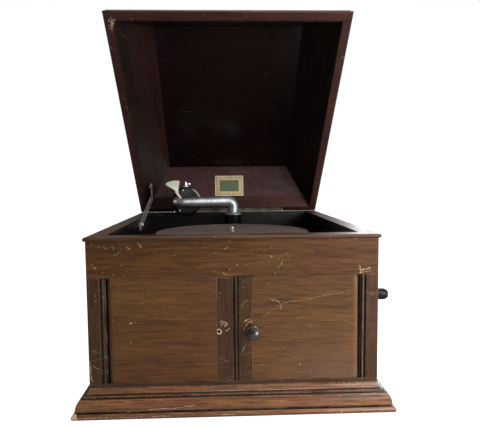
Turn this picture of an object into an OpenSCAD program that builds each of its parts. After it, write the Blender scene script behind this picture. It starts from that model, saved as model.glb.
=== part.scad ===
// Table gramophone of about 1920: mahogany cabinet with a hipped lid, doors over a
// wooden horn, a twelve inch turntable, a spring motor and a swan-neck tone arm.
// Millimetres. +X is the crank side, -Y is the front, +Z is up, the origin is the
// middle of the underside. The lid is open and the swan-neck is thrown back.

/* [Cabinet] */
// Width of the carcase
body_w = 430; // [400:1:470]
// Depth of the carcase
body_d = 505; // [500:1:540]
// Height of the carcase up to the lid seat
body_h = 264; // [262:1:290]
// Thickness of the side and back panels
wall_t = 22; // [16:0.5:24]
// Thickness of the base board
base_t = 12; // [8:0.5:14]
// Height of the plinth moulding
plinth_h = 40; // [38:0.5:44]
// How far the plinth moulding stands out
plinth_out = 22.5; // [20:0.5:26]
// Thickness of the rim moulding under the lid
rim_t = 6; // [5:0.5:8]
// Width of the rim moulding inside its nose
rim_w = 24; // [22:0.5:24.5]
// How far the rounded nose of rim and lid stands out
nose_out = 3.3; // [2:0.1:4]
// Depth of the motor board's top face under the lid seat
board_depth = 50; // [50:0.5:52]
// Thickness of the motor board
board_t = 12; // [9:0.5:12]
// Slack between joined boards that are loose in the carcase
fit_gap = 0.5; // [0.3:0.1:0.8]

/* [Doors] */
// Height of the underside of the doors
door_z0 = 46; // [46:0.5:60]
// Height of the board between the doors' top edge and the rim
frieze_h = 55; // [54:0.5:66]
// Thickness of the doors
door_t = 18; // [16:0.5:20]
// Width of the upright beside each door
post_w = 27; // [24:0.5:30]
// Width of the upright-grain board on the left door's meeting side
stile_left = 23.8; // [23.8:0.1:30]
// Width of the upright-grain board on the right door, beside its bead
stile_right = 19.5; // [17:0.5:24]
// Width of the bead where the doors meet
bead_w = 8.2; // [7.5:0.1:10]
// Gap round the doors
door_gap = 0.6; // [0.4:0.1:1]
// Radius of the door pivot pins
pivot_r = 2.5; // [1.5:0.1:3]
// Width across the turned knob
knob_d = 19; // [16:0.5:24]
// Height of the knobs
knob_z = 121; // [100:1:140]
// Distance of the knob from the middle
knob_x = 27; // [25:0.5:34]
// Distance of the empty knob hole from the middle
knob_hole_x = 22.9; // [20:0.1:22.9]
// Radius of the empty knob hole in the left door
knob_hole_r = 2.5; // [1.5:0.1:2.5]

/* [Lid] */
// Angle at which the lid stands open
lid_open = 46.8; // [0:0.1:46.8]
// Inside depth of the lid
lid_in_h = 90; // [88:0.5:100]
// How far each inner side leans in over that depth
lid_slope = 55; // [52:0.5:58]
// Width of the lid's lower face
lid_wall = 14; // [12:0.5:16]
// Height of the lid's frame
lid_frame_h = 24; // [20:0.5:30]
// Thickness of the leaning sides
lid_panel_t = 10; // [6:0.5:12]
// Thickness of the top board
lid_top_t = 10; // [8:0.5:14]
// Gap between the closed lid and its seat
lid_gap = 0.6; // [0.4:0.1:1]
// Length of the piano hinge
hinge_len = 270; // [200:1:300]
// Radius of the hinge knuckles
knuckle_r = 2.2; // [1.8:0.1:2.5]
// Width of the plate on the lid's back
label_w = 71; // [60:1:76]
// Height of the plate on the lid's back
label_h = 52; // [40:1:60]

/* [Lid stay] */
// Width of the slotted bar
stay_w = 15.5; // [15:0.1:17]
// Width of the slot
slot_w = 9.8; // [9.6:0.1:10]
// Thickness of the bar
stay_t = 2.4; // [1.5:0.1:2.6]
// Radius of the stud in the slot
stud_r = 2; // [1.5:0.1:2]

/* [Turntable] */
// Radius of the platter
platter_r = 150; // [140:0.5:150]
// Height of the platter's skirt
platter_h = 10; // [8:0.5:12]
// Thickness of the felt
felt_t = 2.5; // [1.5:0.1:3]
// Radius of the spindle above the felt
spindle_r = 3.55; // [3.4:0.01:3.6]
// Height of the spindle above the felt
spindle_h = 9.3; // [6:0.1:12]
// Gap between the motor board and the platter
platter_gap = 17; // [16:0.5:18]

/* [Tone arm] */
// Radius of the black arm base
collar_r = 20; // [18:0.5:21]
// Height of the arm's axis over the motor board
arm_rise = 80.4; // [80:0.1:82]
// Radius of the tube at its root
tube_r0 = 12; // [11.5:0.1:12]
// Radius of the tube at its end
tube_r1 = 9.2; // [8.8:0.1:9.4]
// Reach of the arm from its pivot to the swan-neck's axis
arm_reach = 128; // [120:1:130]
// Angle of the parked arm towards the front
arm_park = 15; // [14:0.5:18]
// Distance from the swan-neck's axis to the middle of the sound box
neck_w = 27; // [24:0.5:27]
// Radius of the sound box
box_r = 34; // [32:0.5:34]
// Thickness of the sound box
box_t = 10; // [9:0.5:10]
// Length from the middle of the sound box to the needle's point
needle_reach = 48.7; // [48.2:0.1:48.9]
// Running clearance round shafts, pins and swivels
run_gap = 0.05; // [0.02:0.01:0.09]

/* [Crank] */
// Distance from the shaft to the grip
crank_len = 128; // [100:1:132]
// Radius of the crank's rod
crank_r = 5; // [4:0.1:5]
// Angle of the resting crank
crank_rest = 45.4; // [0:0.1:60]
// Length of the grip
grip_len = 66; // [55:1:70]
// Largest radius of the grip
grip_r = 12.6; // [11:0.1:14]

/* [Motor] */
// Teeth of the spring barrel
barrel_teeth = 96;
// Teeth of the pinion that the barrel drives
pinion_teeth = 12;
// Teeth of the intermediate wheel
wheel_teeth = 72;
// Teeth of the spindle's pinion
spindle_teeth = 24;
// Teeth of the spindle's wheel that drives the governor
worm_wheel_teeth = 60;
// Teeth of the winding wheel
winding_teeth = 36;
// Teeth of the crank shaft's pinion
crank_teeth = 12;
// Turns of the mainspring
spring_turns = 9; // [5:1:9]

/* [Brush] */
// Strands in the record brush
strands = 320; // [300:10:400]

/* [Hidden] */
$fn = 96;
hw = body_w / 2;
hd = body_d / 2;
in_x = hw - wall_t;
in_y = hd - wall_t;
seat_z = body_h;
panel_z1 = body_h - rim_t;
board_z1 = body_h - board_depth;
board_z0 = board_z1 - board_t;
frame_y = -hd + wall_t;
post_x = hw - post_w;
door_z1 = panel_z1 - frieze_h;

// Hinge of the lid and the closed lid's lower plane
hinge_y = hd - 1;
lid_z = seat_z + lid_gap;
lid_back = hinge_y - 0.2;
lid_x1 = hw - lid_wall;
lid_y0 = -hd + lid_wall;
lid_y1 = lid_back - lid_wall;
lean = lid_slope / lid_in_h;
skin = lid_panel_t * sqrt(1 + lean * lean);

// Turntable centre and heights
plat_x = 3;
plat_y = -9.5;
plat_z0 = board_z1 + platter_gap;
plat_z1 = plat_z0 + platter_h;
felt_z = plat_z1 + felt_t;
shaft_r = 5;

// Tone arm pivot, straight behind the platter
arm_x = 9;
arm_back = 24;
arm_y = plat_y + platter_r + arm_back;
arm_z = board_z1 + arm_rise;
collar_z = arm_z - 31;
elbow_bend = 14;
seam_s = 66;
tip_bend = 14;
tube_wall = 1.4;
stub_r = 7;
neck_r = 7.1;
neck_bend = 8.5;
neck_wall = 1.3;
joint_b = tip_bend + 0.3;
neck_b0 = joint_b + 5;
neck_b1 = neck_b0 + 2 * neck_bend;
box_b0 = neck_b1 - 1.3;
box_b1 = box_b0 + box_t;
bar_b = box_b1 + 4.4;
box_s = arm_reach - neck_w;
socket_z0 = box_r + 0.8;
socket_z1 = box_r + 10;
needle_r = 0.75;

// Crank shaft and motor
m_barrel = 1;
m_wheel = 0.7;
m_worm = 0.8;
m_wind = 1.3333;
mid_dist = (wheel_teeth + spindle_teeth) * m_wheel / 2;
mid_dir = 30;
barrel_dist = (barrel_teeth + pinion_teeth) * m_barrel / 2;
barrel_dir = -20;
mid_x = plat_x + mid_dist * cos(mid_dir);
mid_y = plat_y + mid_dist * sin(mid_dir);
barrel_x = mid_x + barrel_dist * cos(barrel_dir);
barrel_y = mid_y + barrel_dist * sin(barrel_dir);
plate_z1 = board_z0;
plate_t = 3;
frame_z0 = board_z0 - 82;
barrel_z0 = frame_z0 + plate_t + 5;
barrel_z1 = barrel_z0 + 32;
arbor_r = 4;
pin_r = 2.5;
wind_z = barrel_z1 + 5;
wind_r = winding_teeth * m_wind / 2;
crank_pinion_r = crank_teeth * m_wind / 2;
crank_z = wind_z + 7.2 + crank_pinion_r;
crank_y = barrel_y;
crank_plane = hw + 47;
crank_bend = 12;
worm_z = frame_z0 + 31.5;
worm_wheel_r = worm_wheel_teeth * m_worm / 2;
worm_r = 4.5;
worm_y = plat_y - worm_wheel_r - worm_r - 1.1;

// Lid stay, with Y and Z of its stud and of its pin on the open lid
stay_x = -hw + wall_t + 4.2;
stud_reach = 180.2;
stud_drop = 13.8;
pin_reach = 29.1;
pin_rise = 34.2;
stud_y = hinge_y - stud_reach;
stud_z = seat_z - stud_drop;
pin_y = hinge_y - pin_reach;
pin_z = lid_z + pin_rise;
foot_u = 72.2;
foot_n = 19.3;

// Extrudes an outline of (Y, Z) points along X about the middle.
module along_x(len) rotate([90, 0, 90]) linear_extrude(len, center = true) children();

// Extrudes an outline of (X, Z) points along Y about the middle.
module along_y(len) rotate([90, 0, 0]) linear_extrude(len, center = true) children();

// What two extrusions share: the first outline is (X, Z), the second (Y, Z). It mitres
// a moulding round its corners.
module crossed(half_x, half_y) {
    intersection() {
        along_y(2 * half_y) children(0);
        along_x(2 * half_x) children(1);
    }
}

// A slab from a to b with a half round nose of reach out at either end.
module nosed(a, b, z0, t, nose_a, nose_b) {
    x0 = nose_a == 1 ? a - nose_out + t / 2 : a;
    x1 = nose_b == 1 ? b + nose_out - t / 2 : b;
    translate([x0, z0]) square([x1 - x0, t]);
    if (nose_a == 1) translate([x0, z0 + t / 2]) circle(r = t / 2);
    if (nose_b == 1) translate([x1, z0 + t / 2]) circle(r = t / 2);
}

// Turns pieces that are drawn on the closed lid to the open lid.
module opened() {
    translate([0, hinge_y, lid_z]) rotate([-lid_open, 0, 0])
        translate([0, -hinge_y, -lid_z]) children();
}

// A quarter of a round tube's bend in the XY plane, from angle a0 to a0 + 90.
module quarter_bend(bend, r, a0) {
    rotate([0, 0, a0]) rotate_extrude(angle = 90) translate([bend, 0]) circle(r = r);
}

// A gear outline with tapered teeth that leave room in mesh.
module gear_outline(teeth, module_mm) {
    pitch = 360 / teeth;
    root = module_mm * (teeth / 2 - 1.15);
    tip = module_mm * (teeth / 2 + 0.8);
    polygon([for (i = [0 : teeth - 1]) for (p = [[root, -0.27], [tip, -0.11], [tip, 0.11], [root, 0.27]])
        [p[0] * cos((i + p[1]) * pitch), p[0] * sin((i + p[1]) * pitch)]]);
}

// A disc with a hole, standing on Z = 0.
module washer(r, hole, t) {
    difference() {
        cylinder(h = t, r = r);
        translate([0, 0, -1]) cylinder(h = t + 2, r = hole);
    }
}

// Cabinet

module base_board() color("saddlebrown")
    translate([-hw, -hd, 0]) cube([body_w, body_d, base_t]);

// The plinth's face from the floor up, as (distance out, height): foot bead, groove, big
// round, fillet and hollow slope.
foot_h = 9;
plinth_line = concat(
    [for (a = [-90 : 15 : 90]) [plinth_out + foot_h / 2 * (cos(a) - 1), foot_h / 2 * (1 + sin(a))]],
    [[plinth_out - 6, foot_h], [plinth_out - 6, foot_h + 1.2]],
    [for (a = [0 : 12 : 84]) [8.5 + (plinth_out - 13) * cos(a), foot_h + 2 + 17 * sin(a)]],
    [[8, foot_h + 19], [8, foot_h + 22]],
    [for (a = [0 : 18 : 90]) [6.5 - 6.5 * sin(a), plinth_h - (plinth_h - foot_h - 22) * cos(a)]]);

module plinth_moulding() color("sienna") difference() {
    crossed(hw + plinth_out + 1, hd + plinth_out + 1) {
        polygon(concat([for (p = plinth_line) [-hw - p[0], p[1]]],
            [for (i = [len(plinth_line) - 1 : -1 : 0]) [hw + plinth_line[i][0], plinth_line[i][1]]]));
        polygon(concat([for (p = plinth_line) [-hd - p[0], p[1]]], [[hd, plinth_h], [hd, 0]]));
    }
    translate([-hw, -hd, -1]) cube([body_w, body_d + 1, plinth_h + 2]);
}

module side_panel() translate([in_x, frame_y, base_t]) cube([wall_t, hd - frame_y, panel_z1 - base_t]);

module side_panel_left() color("saddlebrown") mirror([1, 0, 0]) side_panel();

module side_panel_right() color("saddlebrown") difference() {
    side_panel();
    translate([in_x - 1, crank_y, crank_z]) rotate([0, 90, 0]) cylinder(h = wall_t + 2, r = crank_r + 1.5);
}

module back_panel() color("saddlebrown")
    translate([-in_x, in_y, base_t]) cube([2 * in_x, wall_t, panel_z1 - base_t]);

module pivot_holes() for (x = [-1, 1]) translate([x * hinge_x, door_axis_y, 0]) children();

door_x1 = post_x - door_gap;
hinge_x = door_x1 - door_t / 2;
door_axis_y = -hd + door_t / 2;
pivot_in = 12;

module bottom_rail() color("saddlebrown") difference() {
    translate([-hw, -hd, base_t]) cube([body_w, wall_t, door_z0 - door_gap - base_t]);
    pivot_holes() translate([0, 0, door_z0 - pivot_in]) cylinder(h = pivot_in + 1, r = pivot_r);
}

module front_frieze() color("peru") difference() {
    translate([-hw, -hd, door_z1 + door_gap]) cube([body_w, wall_t, panel_z1 - door_z1 - door_gap]);
    pivot_holes() translate([0, 0, door_z1 - 1]) cylinder(h = pivot_in + 1, r = pivot_r);
}

// The front of a moulded edge: a bead between two sunk quirks, from x0 over width w.
module beaded(x0, w, r) {
    difference() {
        children();
        translate([x0 - 1, -hd - 5]) square([w + 1, 8]);
    }
    translate([x0 + w * 0.45, -hd + r]) circle(r = r);
}

// The upright beside a door, with a bead along its inner edge.
module front_posts() color("sienna") for (s = [0, 1]) mirror([s, 0, 0])
    translate([0, 0, door_z0 - door_gap]) linear_extrude(door_z1 - door_z0 + 2 * door_gap)
        beaded(post_x, 9, 2.2) translate([post_x, -hd]) square([post_w, wall_t]);

// The rim that the lid shuts on, with a rounded nose on the front and the sides.
module rim_moulding() color("saddlebrown") difference() {
    crossed(hw + 10, hd + 10) {
        nosed(-hw, hw, panel_z1, rim_t, 1, 1);
        nosed(-hd, hd, panel_z1, rim_t, 1, 0);
    }
    translate([-hw + rim_w, -hd + rim_w, panel_z1 - 1]) cube([body_w - 2 * rim_w, body_d - 2 * rim_w, rim_t + 2]);
    translate([-hinge_len / 2 - 1, hinge_y - 11.5, seat_z - 0.9]) cube([hinge_len + 2, 13, 2]);
    translate([-hinge_len / 2 - 1, hinge_y - knuckle_r - 0.5, seat_z - 2.4]) cube([hinge_len + 2, 6, 4]);
}

module board_battens() color("burlywood") for (s = [0, 1]) mirror([s, 0, 0])
    translate([in_x - 18, -in_y + 25, board_z0 - 14]) cube([18, 2 * in_y - 50, 14]);

board_hole_x = in_x - 9;
board_hole_y = in_y - 40;

module corners() for (x = [-1, 1], y = [-1, 1]) translate([x * board_hole_x, y * board_hole_y, 0]) children();

cup_x = in_x - 34;
cup_y = in_y - 34;
cup_r = 14;

// The needle cups stand in the front corners of the board.
module cup_places() for (x = [-1, 1]) translate([x * cup_x, -cup_y, 0]) children();

speed_x = 40;
speed_y = -in_y + 34;
brake_x = in_x - 26;
brake_y = -60;

module motor_board() color("maroon") difference() {
    translate([-in_x + fit_gap, -in_y + fit_gap, board_z0])
        cube([2 * in_x - 2 * fit_gap, 2 * in_y - 2 * fit_gap, board_t]);
    translate([plat_x, plat_y, board_z0 - 1]) cylinder(h = board_t + 2, r = 12);
    translate([arm_x, arm_y, board_z0 - 1]) cylinder(h = board_t + 2, r = 17);
    corners() translate([0, 0, board_z0 - 1]) cylinder(h = board_t + 2, r = 2.2);
    cup_places() translate([0, 0, board_z1 - 9.5]) cylinder(h = 20, r = cup_r);
    translate([speed_x, speed_y, board_z0 - 1]) cylinder(h = board_t + 2, r = 3);
    translate([brake_x, brake_y, board_z0 - 1]) cylinder(h = board_t + 2, r = 3);
}

// Round-headed screws that hold the motor board.
module board_screws() color("silver") corners() difference() {
    union() {
        translate([0, 0, board_z0]) cylinder(h = board_t, r = 2);
        translate([0, 0, board_z1]) cylinder(h = 1, r = 4.2);
        translate([0, 0, board_z1 + 1]) cylinder(h = 1.2, r1 = 4.2, r2 = 2.4);
    }
    translate([-5, -0.5, board_z1 + 1.2]) cube([10, 1, 2]);
}

horn_wall = 6;
horn_gap = 16;
glue_line = 0.1;
throat_r = 14;
throat_half = throat_r + 6;
horn_y0 = frame_y + 1;
horn_y1 = arm_y - 40;
horn_x1 = post_x - horn_wall - 3;
horn_floor = base_t + horn_wall + 8;
horn_roof = frame_z0 - horn_gap - horn_wall;
throat_z = (horn_floor + horn_roof) / 2 + 2;
horn_steps = 5;

// Half width and shift of the horn at a share k of its length, from throat to mouth.
function horn_half(k) = (throat_r + 4) * pow(horn_x1 / (throat_r + 4), k);
function horn_y(k) = horn_y1 + (horn_y0 - horn_y1) * k;
function horn_x(k) = arm_x * (1 - k);

module horn_plan(grow) polygon(concat(
    [for (i = [0 : horn_steps]) let (k = i / horn_steps) [horn_x(k) - horn_half(k) - grow, horn_y(k)]],
    [for (i = [horn_steps : -1 : 0]) let (k = i / horn_steps) [horn_x(k) + horn_half(k) + grow, horn_y(k)]]));

// The horn's side view: flat under the motor, then rising to the mouth.
module horn_side(grow) {
    top = [[0, throat_z + throat_half], [0.35, horn_roof], [0.6, horn_roof + 5],
        [0.8, door_z1 - 52], [1, door_z1 - 8]];
    low = [[1, door_z0 - 4], [0.7, horn_floor], [0.35, horn_floor], [0, throat_z - throat_half]];
    polygon(concat([for (p = top) [horn_y(p[0]), p[1] + grow]], [for (p = low) [horn_y(p[0]), p[1] - grow]]));
}

// The wooden horn, from the elbow's mouth forward to the doors: bent boards above and
// below, glued between the two side boards.
module horn() color("tan") {
    intersection() {
        along_x(body_w) difference() {
            horn_side(horn_wall);
            horn_side(0);
        }
        linear_extrude(body_h) horn_plan(-glue_line);
    }
    intersection() {
        along_x(body_w) horn_side(horn_wall);
        linear_extrude(body_h) difference() {
            horn_plan(horn_wall);
            horn_plan(0);
        }
    }
}

elbow_r = 34;
elbow_wall = 4;

// The iron elbow that leads from the arm base down into the horn.
module elbow_run(r, ends) {
    translate([arm_x, arm_y, throat_z + elbow_r]) cylinder(h = board_z0 - throat_z - elbow_r + ends, r = r);
    translate([arm_x, arm_y - elbow_r, throat_z + elbow_r]) rotate([0, 90, 0]) rotate([0, 0, 0])
        quarter_bend(elbow_r, r, 0);
    translate([arm_x, arm_y - elbow_r, throat_z]) rotate([90, 0, 0]) cylinder(h = 6 + ends, r = r);
}

module horn_elbow() color("dimgray") difference() {
    union() {
        elbow_run(throat_r + elbow_wall, 0);
        translate([arm_x, arm_y, board_z0 - 5]) cylinder(h = 5, r = 27);
    }
    elbow_run(throat_r, 1);
}

module crank_escutcheon() color("gold")
    translate([hw, crank_y, crank_z]) rotate([0, 90, 0]) difference() {
        union() {
            cylinder(h = 1.6, r = 15);
            cylinder(h = 5, r = 9);
        }
        translate([0, 0, -1]) cylinder(h = 8, r = crank_r + run_gap);
    }

module needle_cups() color("silver") cup_places() difference() {
    union() {
        translate([0, 0, board_z1 - 9]) cylinder(h = 9, r = cup_r - 0.2);
        translate([0, 0, board_z1]) cylinder(h = 1.4, r = cup_r + 3);
    }
    translate([0, 0, board_z1 - 8]) cylinder(h = 12, r = cup_r - 1.4);
}

// The black base that the tone arm turns in, with a wide foot on the board.
module arm_base() color("black") translate([arm_x, arm_y, 0]) rotate_extrude() polygon([
    [throat_r, board_z0], [16.8, board_z0], [16.8, board_z1], [collar_r + 9, board_z1], [collar_r + 9, board_z1 + 2.5],
    [collar_r + 3, board_z1 + 5], [collar_r, board_z1 + 9], [collar_r, collar_z - 1.5],
    [collar_r - 1.5, collar_z], [tube_r0 + run_gap, collar_z], [tube_r0 + run_gap, collar_z - 14],
    [throat_r, collar_z - 16]]);

module knuckles(parity) {
    count = 9;
    step = hinge_len / count;
    for (i = [parity : 2 : count - 1]) translate([-hinge_len / 2 + i * step + 0.1, hinge_y, lid_z])
        rotate([0, 90, 0]) cylinder(h = step - 0.2, r = knuckle_r);
}

module hinge_pin_hole(r) translate([-hinge_len / 2 - 1, hinge_y, lid_z]) rotate([0, 90, 0])
    cylinder(h = hinge_len + 2, r = r);

// A leaf: its plate lies against the wood and a strip of it wraps each of its knuckles.
module hinge_leaf(parity, z0) difference() {
    union() {
        knuckles(parity);
        translate([-hinge_len / 2, hinge_y - 11, z0]) cube([hinge_len, 11 - knuckle_r - 0.3, 0.8]);
        for (i = [parity : 2 : 8]) translate([-hinge_len / 2 + i * hinge_len / 9 + 0.1, hinge_y - knuckle_r - 0.5, z0])
            cube([hinge_len / 9 - 0.2, knuckle_r + 0.5, 0.8]);
    }
    hinge_pin_hole(1 + run_gap);
}

module hinge_leaf_body() color("gold") hinge_leaf(0, seat_z - 0.8);

module hinge_pin() color("gold") translate([-hinge_len / 2, hinge_y, lid_z]) rotate([0, 90, 0])
    cylinder(h = hinge_len, r = 1);

// The stud that the slotted stay rides on, with its friction washers.
module stay_stud() color("gold") translate([0, stud_y, stud_z]) {
    wall_x = -in_x;
    translate([wall_x, 0, 0]) rotate([0, 90, 0]) {
        cylinder(h = stay_x - stay_t / 2 - wall_x - 0.3, r = 7.4);
        cylinder(h = stay_x - wall_x + 4.5, r = stud_r);
    }
    translate([stay_x + stay_t / 2 + 0.3, 0, 0]) rotate([0, 90, 0]) {
        cylinder(h = 0.8, r = 7.4);
        translate([0, 0, 0.8]) cylinder(h = 1.2, r = 6.2);
        translate([0, 0, 2]) cylinder(h = 2.4, r = 4.2);
    }
}

module door_pivots() color("gold") pivot_holes() {
    translate([0, 0, door_z0 - pivot_in]) cylinder(h = 2 * pivot_in - 2, r = pivot_r);
    translate([0, 0, door_z1 - pivot_in + 2]) cylinder(h = 2 * pivot_in - 2, r = pivot_r);
}

// Motor

frame_left = 96;
frame_right = 54;
frame_half = 56;
frame_x0 = plat_x - frame_left;
frame_x1 = barrel_x + frame_right;
frame_y0 = plat_y - frame_half;
frame_y1 = plat_y + frame_half;

module frame_plate() difference() {
    linear_extrude(plate_t) polygon([[frame_x0, frame_y0 + 20], [frame_x0 + 20, frame_y0],
        [frame_x1 - 20, frame_y0], [frame_x1, frame_y0 + 20], [frame_x1, frame_y1 - 20],
        [frame_x1 - 20, frame_y1], [frame_x0 + 20, frame_y1], [frame_x0, frame_y1 - 20]]);
    translate([plat_x, plat_y, -1]) cylinder(h = plate_t + 2, r = shaft_r + run_gap);
    translate([mid_x, mid_y, -1]) cylinder(h = plate_t + 2, r = pin_r + run_gap);
    translate([barrel_x, barrel_y, -1]) cylinder(h = plate_t + 2, r = arbor_r + run_gap);
}

gov_left = frame_left - 10;
gov_right = 24;
gov_x0 = plat_x - gov_left;
gov_x1 = plat_x + gov_right;

// Two plates on four pillars, with brackets for the governor and the crank shaft.
module motor_frame() color("gray") difference() {
    union() {
        translate([0, 0, plate_z1 - plate_t]) frame_plate();
        translate([0, 0, frame_z0]) frame_plate();
        for (x = [frame_x0 + 22, frame_x1 - 14], y = [frame_y0 + 14, frame_y1 - 14])
            translate([x, y, frame_z0 + 1]) cylinder(h = plate_z1 - frame_z0 - 2, r = 4);
        for (x = [gov_x0 - 4, gov_x1 - 2]) translate([x, worm_y - 5, frame_z0 + 1])
            cube([6, 10, worm_z - frame_z0 + 5]);
        translate([crank_bracket_x, crank_y - 10, crank_z - 9]) cube([6, 20, plate_z1 - crank_z + 8]);
    }
    translate([gov_x0, worm_y, worm_z]) rotate([0, 90, 0]) cylinder(h = gov_x1 - gov_x0, r = 1.5 + run_gap);
    translate([crank_bracket_x - 1, crank_y, crank_z]) rotate([0, 90, 0])
        cylinder(h = 8, r = crank_r + run_gap);
}

crank_bracket_x = barrel_x + wind_r + 12;

// Lid

// How far the lid's inner side has leant in at a height.
function inner_at(n) = lid_wall + lean * n;

// The lid frame's outside between two lines: upright, then leaning with the panels.
module frame_outline(a, b) {
    top_in = inner_at(lid_frame_h) - skin;
    polygon([[a, lid_z], [b, lid_z], [b, lid_z + lid_frame_h - 10], [b - top_in, lid_z + lid_frame_h],
        [a + top_in, lid_z + lid_frame_h], [a, lid_z + lid_frame_h - 10]]);
}

// The mitred frame of the lid, let in for the hinge along the lower edge of its back bar.
module lid_frame() color("maroon") opened() difference() {
    crossed(hw + 10, hd + 10) {
        union() {
            frame_outline(-hw, hw);
            nosed(-hw, hw, lid_z, 6, 1, 1);
        }
        union() {
            frame_outline(-hd, lid_back);
            nosed(-hd, lid_back, lid_z, 6, 1, 0);
        }
    }
    lid_form(0, lid_z - 1, lid_z + lid_frame_h + 1);
    translate([-hinge_len / 2 - 1, hinge_y - 11.5, lid_z - 1]) cube([hinge_len + 2, 13, 1.9]);
    translate([-hinge_len / 2 - 1, hinge_y - knuckle_r - 0.5, lid_z - 1]) cube([hinge_len + 2, 6, 3.6]);
}

// The hollow of the lid and, grown by the panels' thickness, its outside.
module lid_form(grow, z0, z1) {
    y_mid = (lid_y0 + lid_y1) / 2;
    y_half = (lid_y1 - lid_y0) / 2;
    n0 = z0 - lid_z;
    n1 = z1 - lid_z;
    intersection() {
        along_y(4 * body_d) polygon([
            [-lid_x1 + lean * n0 - grow, z0], [lid_x1 - lean * n0 + grow, z0],
            [lid_x1 - lean * n1 + grow, z1], [-lid_x1 + lean * n1 - grow, z1]]);
        translate([0, y_mid, 0]) along_x(4 * body_w) polygon([
            [-y_half + lean * n0 - grow, z0], [y_half - lean * n0 + grow, z0],
            [y_half - lean * n1 + grow, z1], [-y_half + lean * n1 - grow, z1]]);
    }
}

// One leaning panel, cut from the hipped shell along its mitres.
module lid_panel(points) opened() difference() {
    intersection() {
        lid_form(skin, lid_z + lid_frame_h, lid_z + lid_in_h);
        linear_extrude(2 * body_h) polygon(points);
    }
    lid_form(0, lid_z + lid_frame_h - 1, lid_z + lid_in_h + 1);
}

lid_mid = (lid_y0 + lid_y1) / 2;
lid_half = (lid_y1 - lid_y0) / 2;
spread = 100;

module lid_front_panel() color("maroon") lid_panel([
    [-lid_x1 - 60, lid_y0 - 60], [lid_x1 + 60, lid_y0 - 60],
    [lid_x1 - spread, lid_y0 + spread], [-lid_x1 + spread, lid_y0 + spread]]);

module lid_back_panel() color("maroon") lid_panel([
    [-lid_x1 - 60, lid_y1 + 60], [lid_x1 + 60, lid_y1 + 60],
    [lid_x1 - spread, lid_y1 - spread], [-lid_x1 + spread, lid_y1 - spread]]);

module lid_side_panels() color("maroon") for (s = [-1, 1]) lid_panel([
    [s * (lid_x1 + 60), lid_y0 - 60], [s * (lid_x1 + 60), lid_y1 + 60],
    [s * (lid_x1 - spread), lid_y1 - spread], [s * (lid_x1 - spread), lid_y0 + spread]]);

top_over = 5;

module lid_top_board() color("saddlebrown") opened() {
    x1 = lid_x1 - lid_slope + skin + top_over;
    y_half = lid_half - lid_slope + skin + top_over;
    translate([-x1, lid_mid - y_half, lid_z + lid_in_h]) cube([2 * x1, 2 * y_half, lid_top_t]);
}

// A thin plate on the leaning back of the lid.
module label_plate() color("darkolivegreen") opened()
    translate([0, hinge_y - inner_at(47.3) - 0.2, lid_z + 47.3])
        rotate([90 + atan(lean), 0, 0]) translate([2 - label_w / 2, -label_h / 2, 0])
            cube([label_w, label_h, 0.8]);

module hinge_leaf_lid() color("gold") opened() hinge_leaf(1, lid_z + 0.1);

// Lid stay

module at_pin() translate([stay_x, pin_y, pin_z]) children();

stay_angle = atan2(pin_z - stud_z, pin_y - stud_y);
stay_long = norm([pin_z - stud_z, pin_y - stud_y]);

// The slotted flat bar, from its pin on the lid down past the stud.
module lid_stay() color("gold") at_pin() rotate([stay_angle, 0, 0]) rotate([90, 0, 90])
    linear_extrude(stay_t, center = true) difference() {
        union() {
            translate([-stay_long - 9, -stay_w / 2]) square([stay_long + 9, stay_w]);
            circle(d = stay_w);
            translate([-stay_long - 9, 0]) circle(d = stay_w);
        }
        circle(r = pin_hole_r);
        translate([-stay_long - 5, -slot_w / 2]) square([stay_long - 12, slot_w]);
        translate([-stay_long - 5, 0]) circle(d = slot_w);
        translate([-17, 0]) circle(d = slot_w);
    }

pin_hole_r = 2.6 + run_gap;

// The bracket on the lid's left side: a flat plate with the stay's pin and a foot that
// stands on the leaning wood.
module stay_bracket() color("gold") opened() {
    inner_x = stay_x + stay_t / 2 + 0.3;
    pin_at = [hinge_y - pin_u, lid_z + pin_n];
    foot_at = [hinge_y - foot_u, lid_z + foot_n];
    difference() {
        union() {
            translate([inner_x, 0, 0]) rotate([90, 0, 90]) linear_extrude(2.2) {
                translate(pin_at) circle(r = 7);
                translate(foot_at) circle(r = 7);
                translate(pin_at) rotate(bracket_angle) translate([-bracket_long, -5]) square([bracket_long, 10]);
            }
            translate([stay_x - stay_t / 2 - 1, pin_at[0], pin_at[1]]) rotate([0, 90, 0])
                cylinder(h = stay_t + 2.4, r = pin_hole_r - run_gap);
            translate([-in_x - 12, foot_at[0], foot_at[1]]) rotate([0, 90, 0])
                cylinder(h = inner_x + in_x + 13, r = 5);
        }
        translate([-lid_x1 + lean * foot_n, foot_at[0], foot_at[1]]) rotate([0, atan(lean), 0])
            translate([-60, -60, -60]) cube([60, 120, 120]);
    }
}

// The pin's place in the closed lid: distance from the hinge and height.
pin_u = (hinge_y - pin_y) * cos(lid_open) + (pin_z - lid_z) * sin(lid_open);
pin_n = -(hinge_y - pin_y) * sin(lid_open) + (pin_z - lid_z) * cos(lid_open);
bracket_angle = -atan2(foot_n - pin_n, foot_u - pin_u);
bracket_long = norm([foot_n - pin_n, foot_u - pin_u]);

// Doors

seam_x = -1.5;

// A plain board of a door between x0 and x1.
module door_slab(x0, x1) translate([x0, -hd, door_z0]) cube([x1 - x0, door_t, door_z1 - door_z0]);

// The rounded edge that a door turns on, round the origin's Z axis.
module pivot_edge() difference() {
    union() {
        translate([0, 0, door_z0]) cylinder(h = door_z1 - door_z0, r = door_t / 2 - 0.1);
        translate([0, -door_t / 2, door_z0]) cube([door_t / 2, door_t, door_z1 - door_z0]);
    }
    translate([0, 0, door_z0 - 1]) cylinder(h = pivot_in, r = pivot_r + run_gap);
    translate([0, 0, door_z1 - pivot_in + 1]) cylinder(h = pivot_in, r = pivot_r + run_gap);
}

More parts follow.
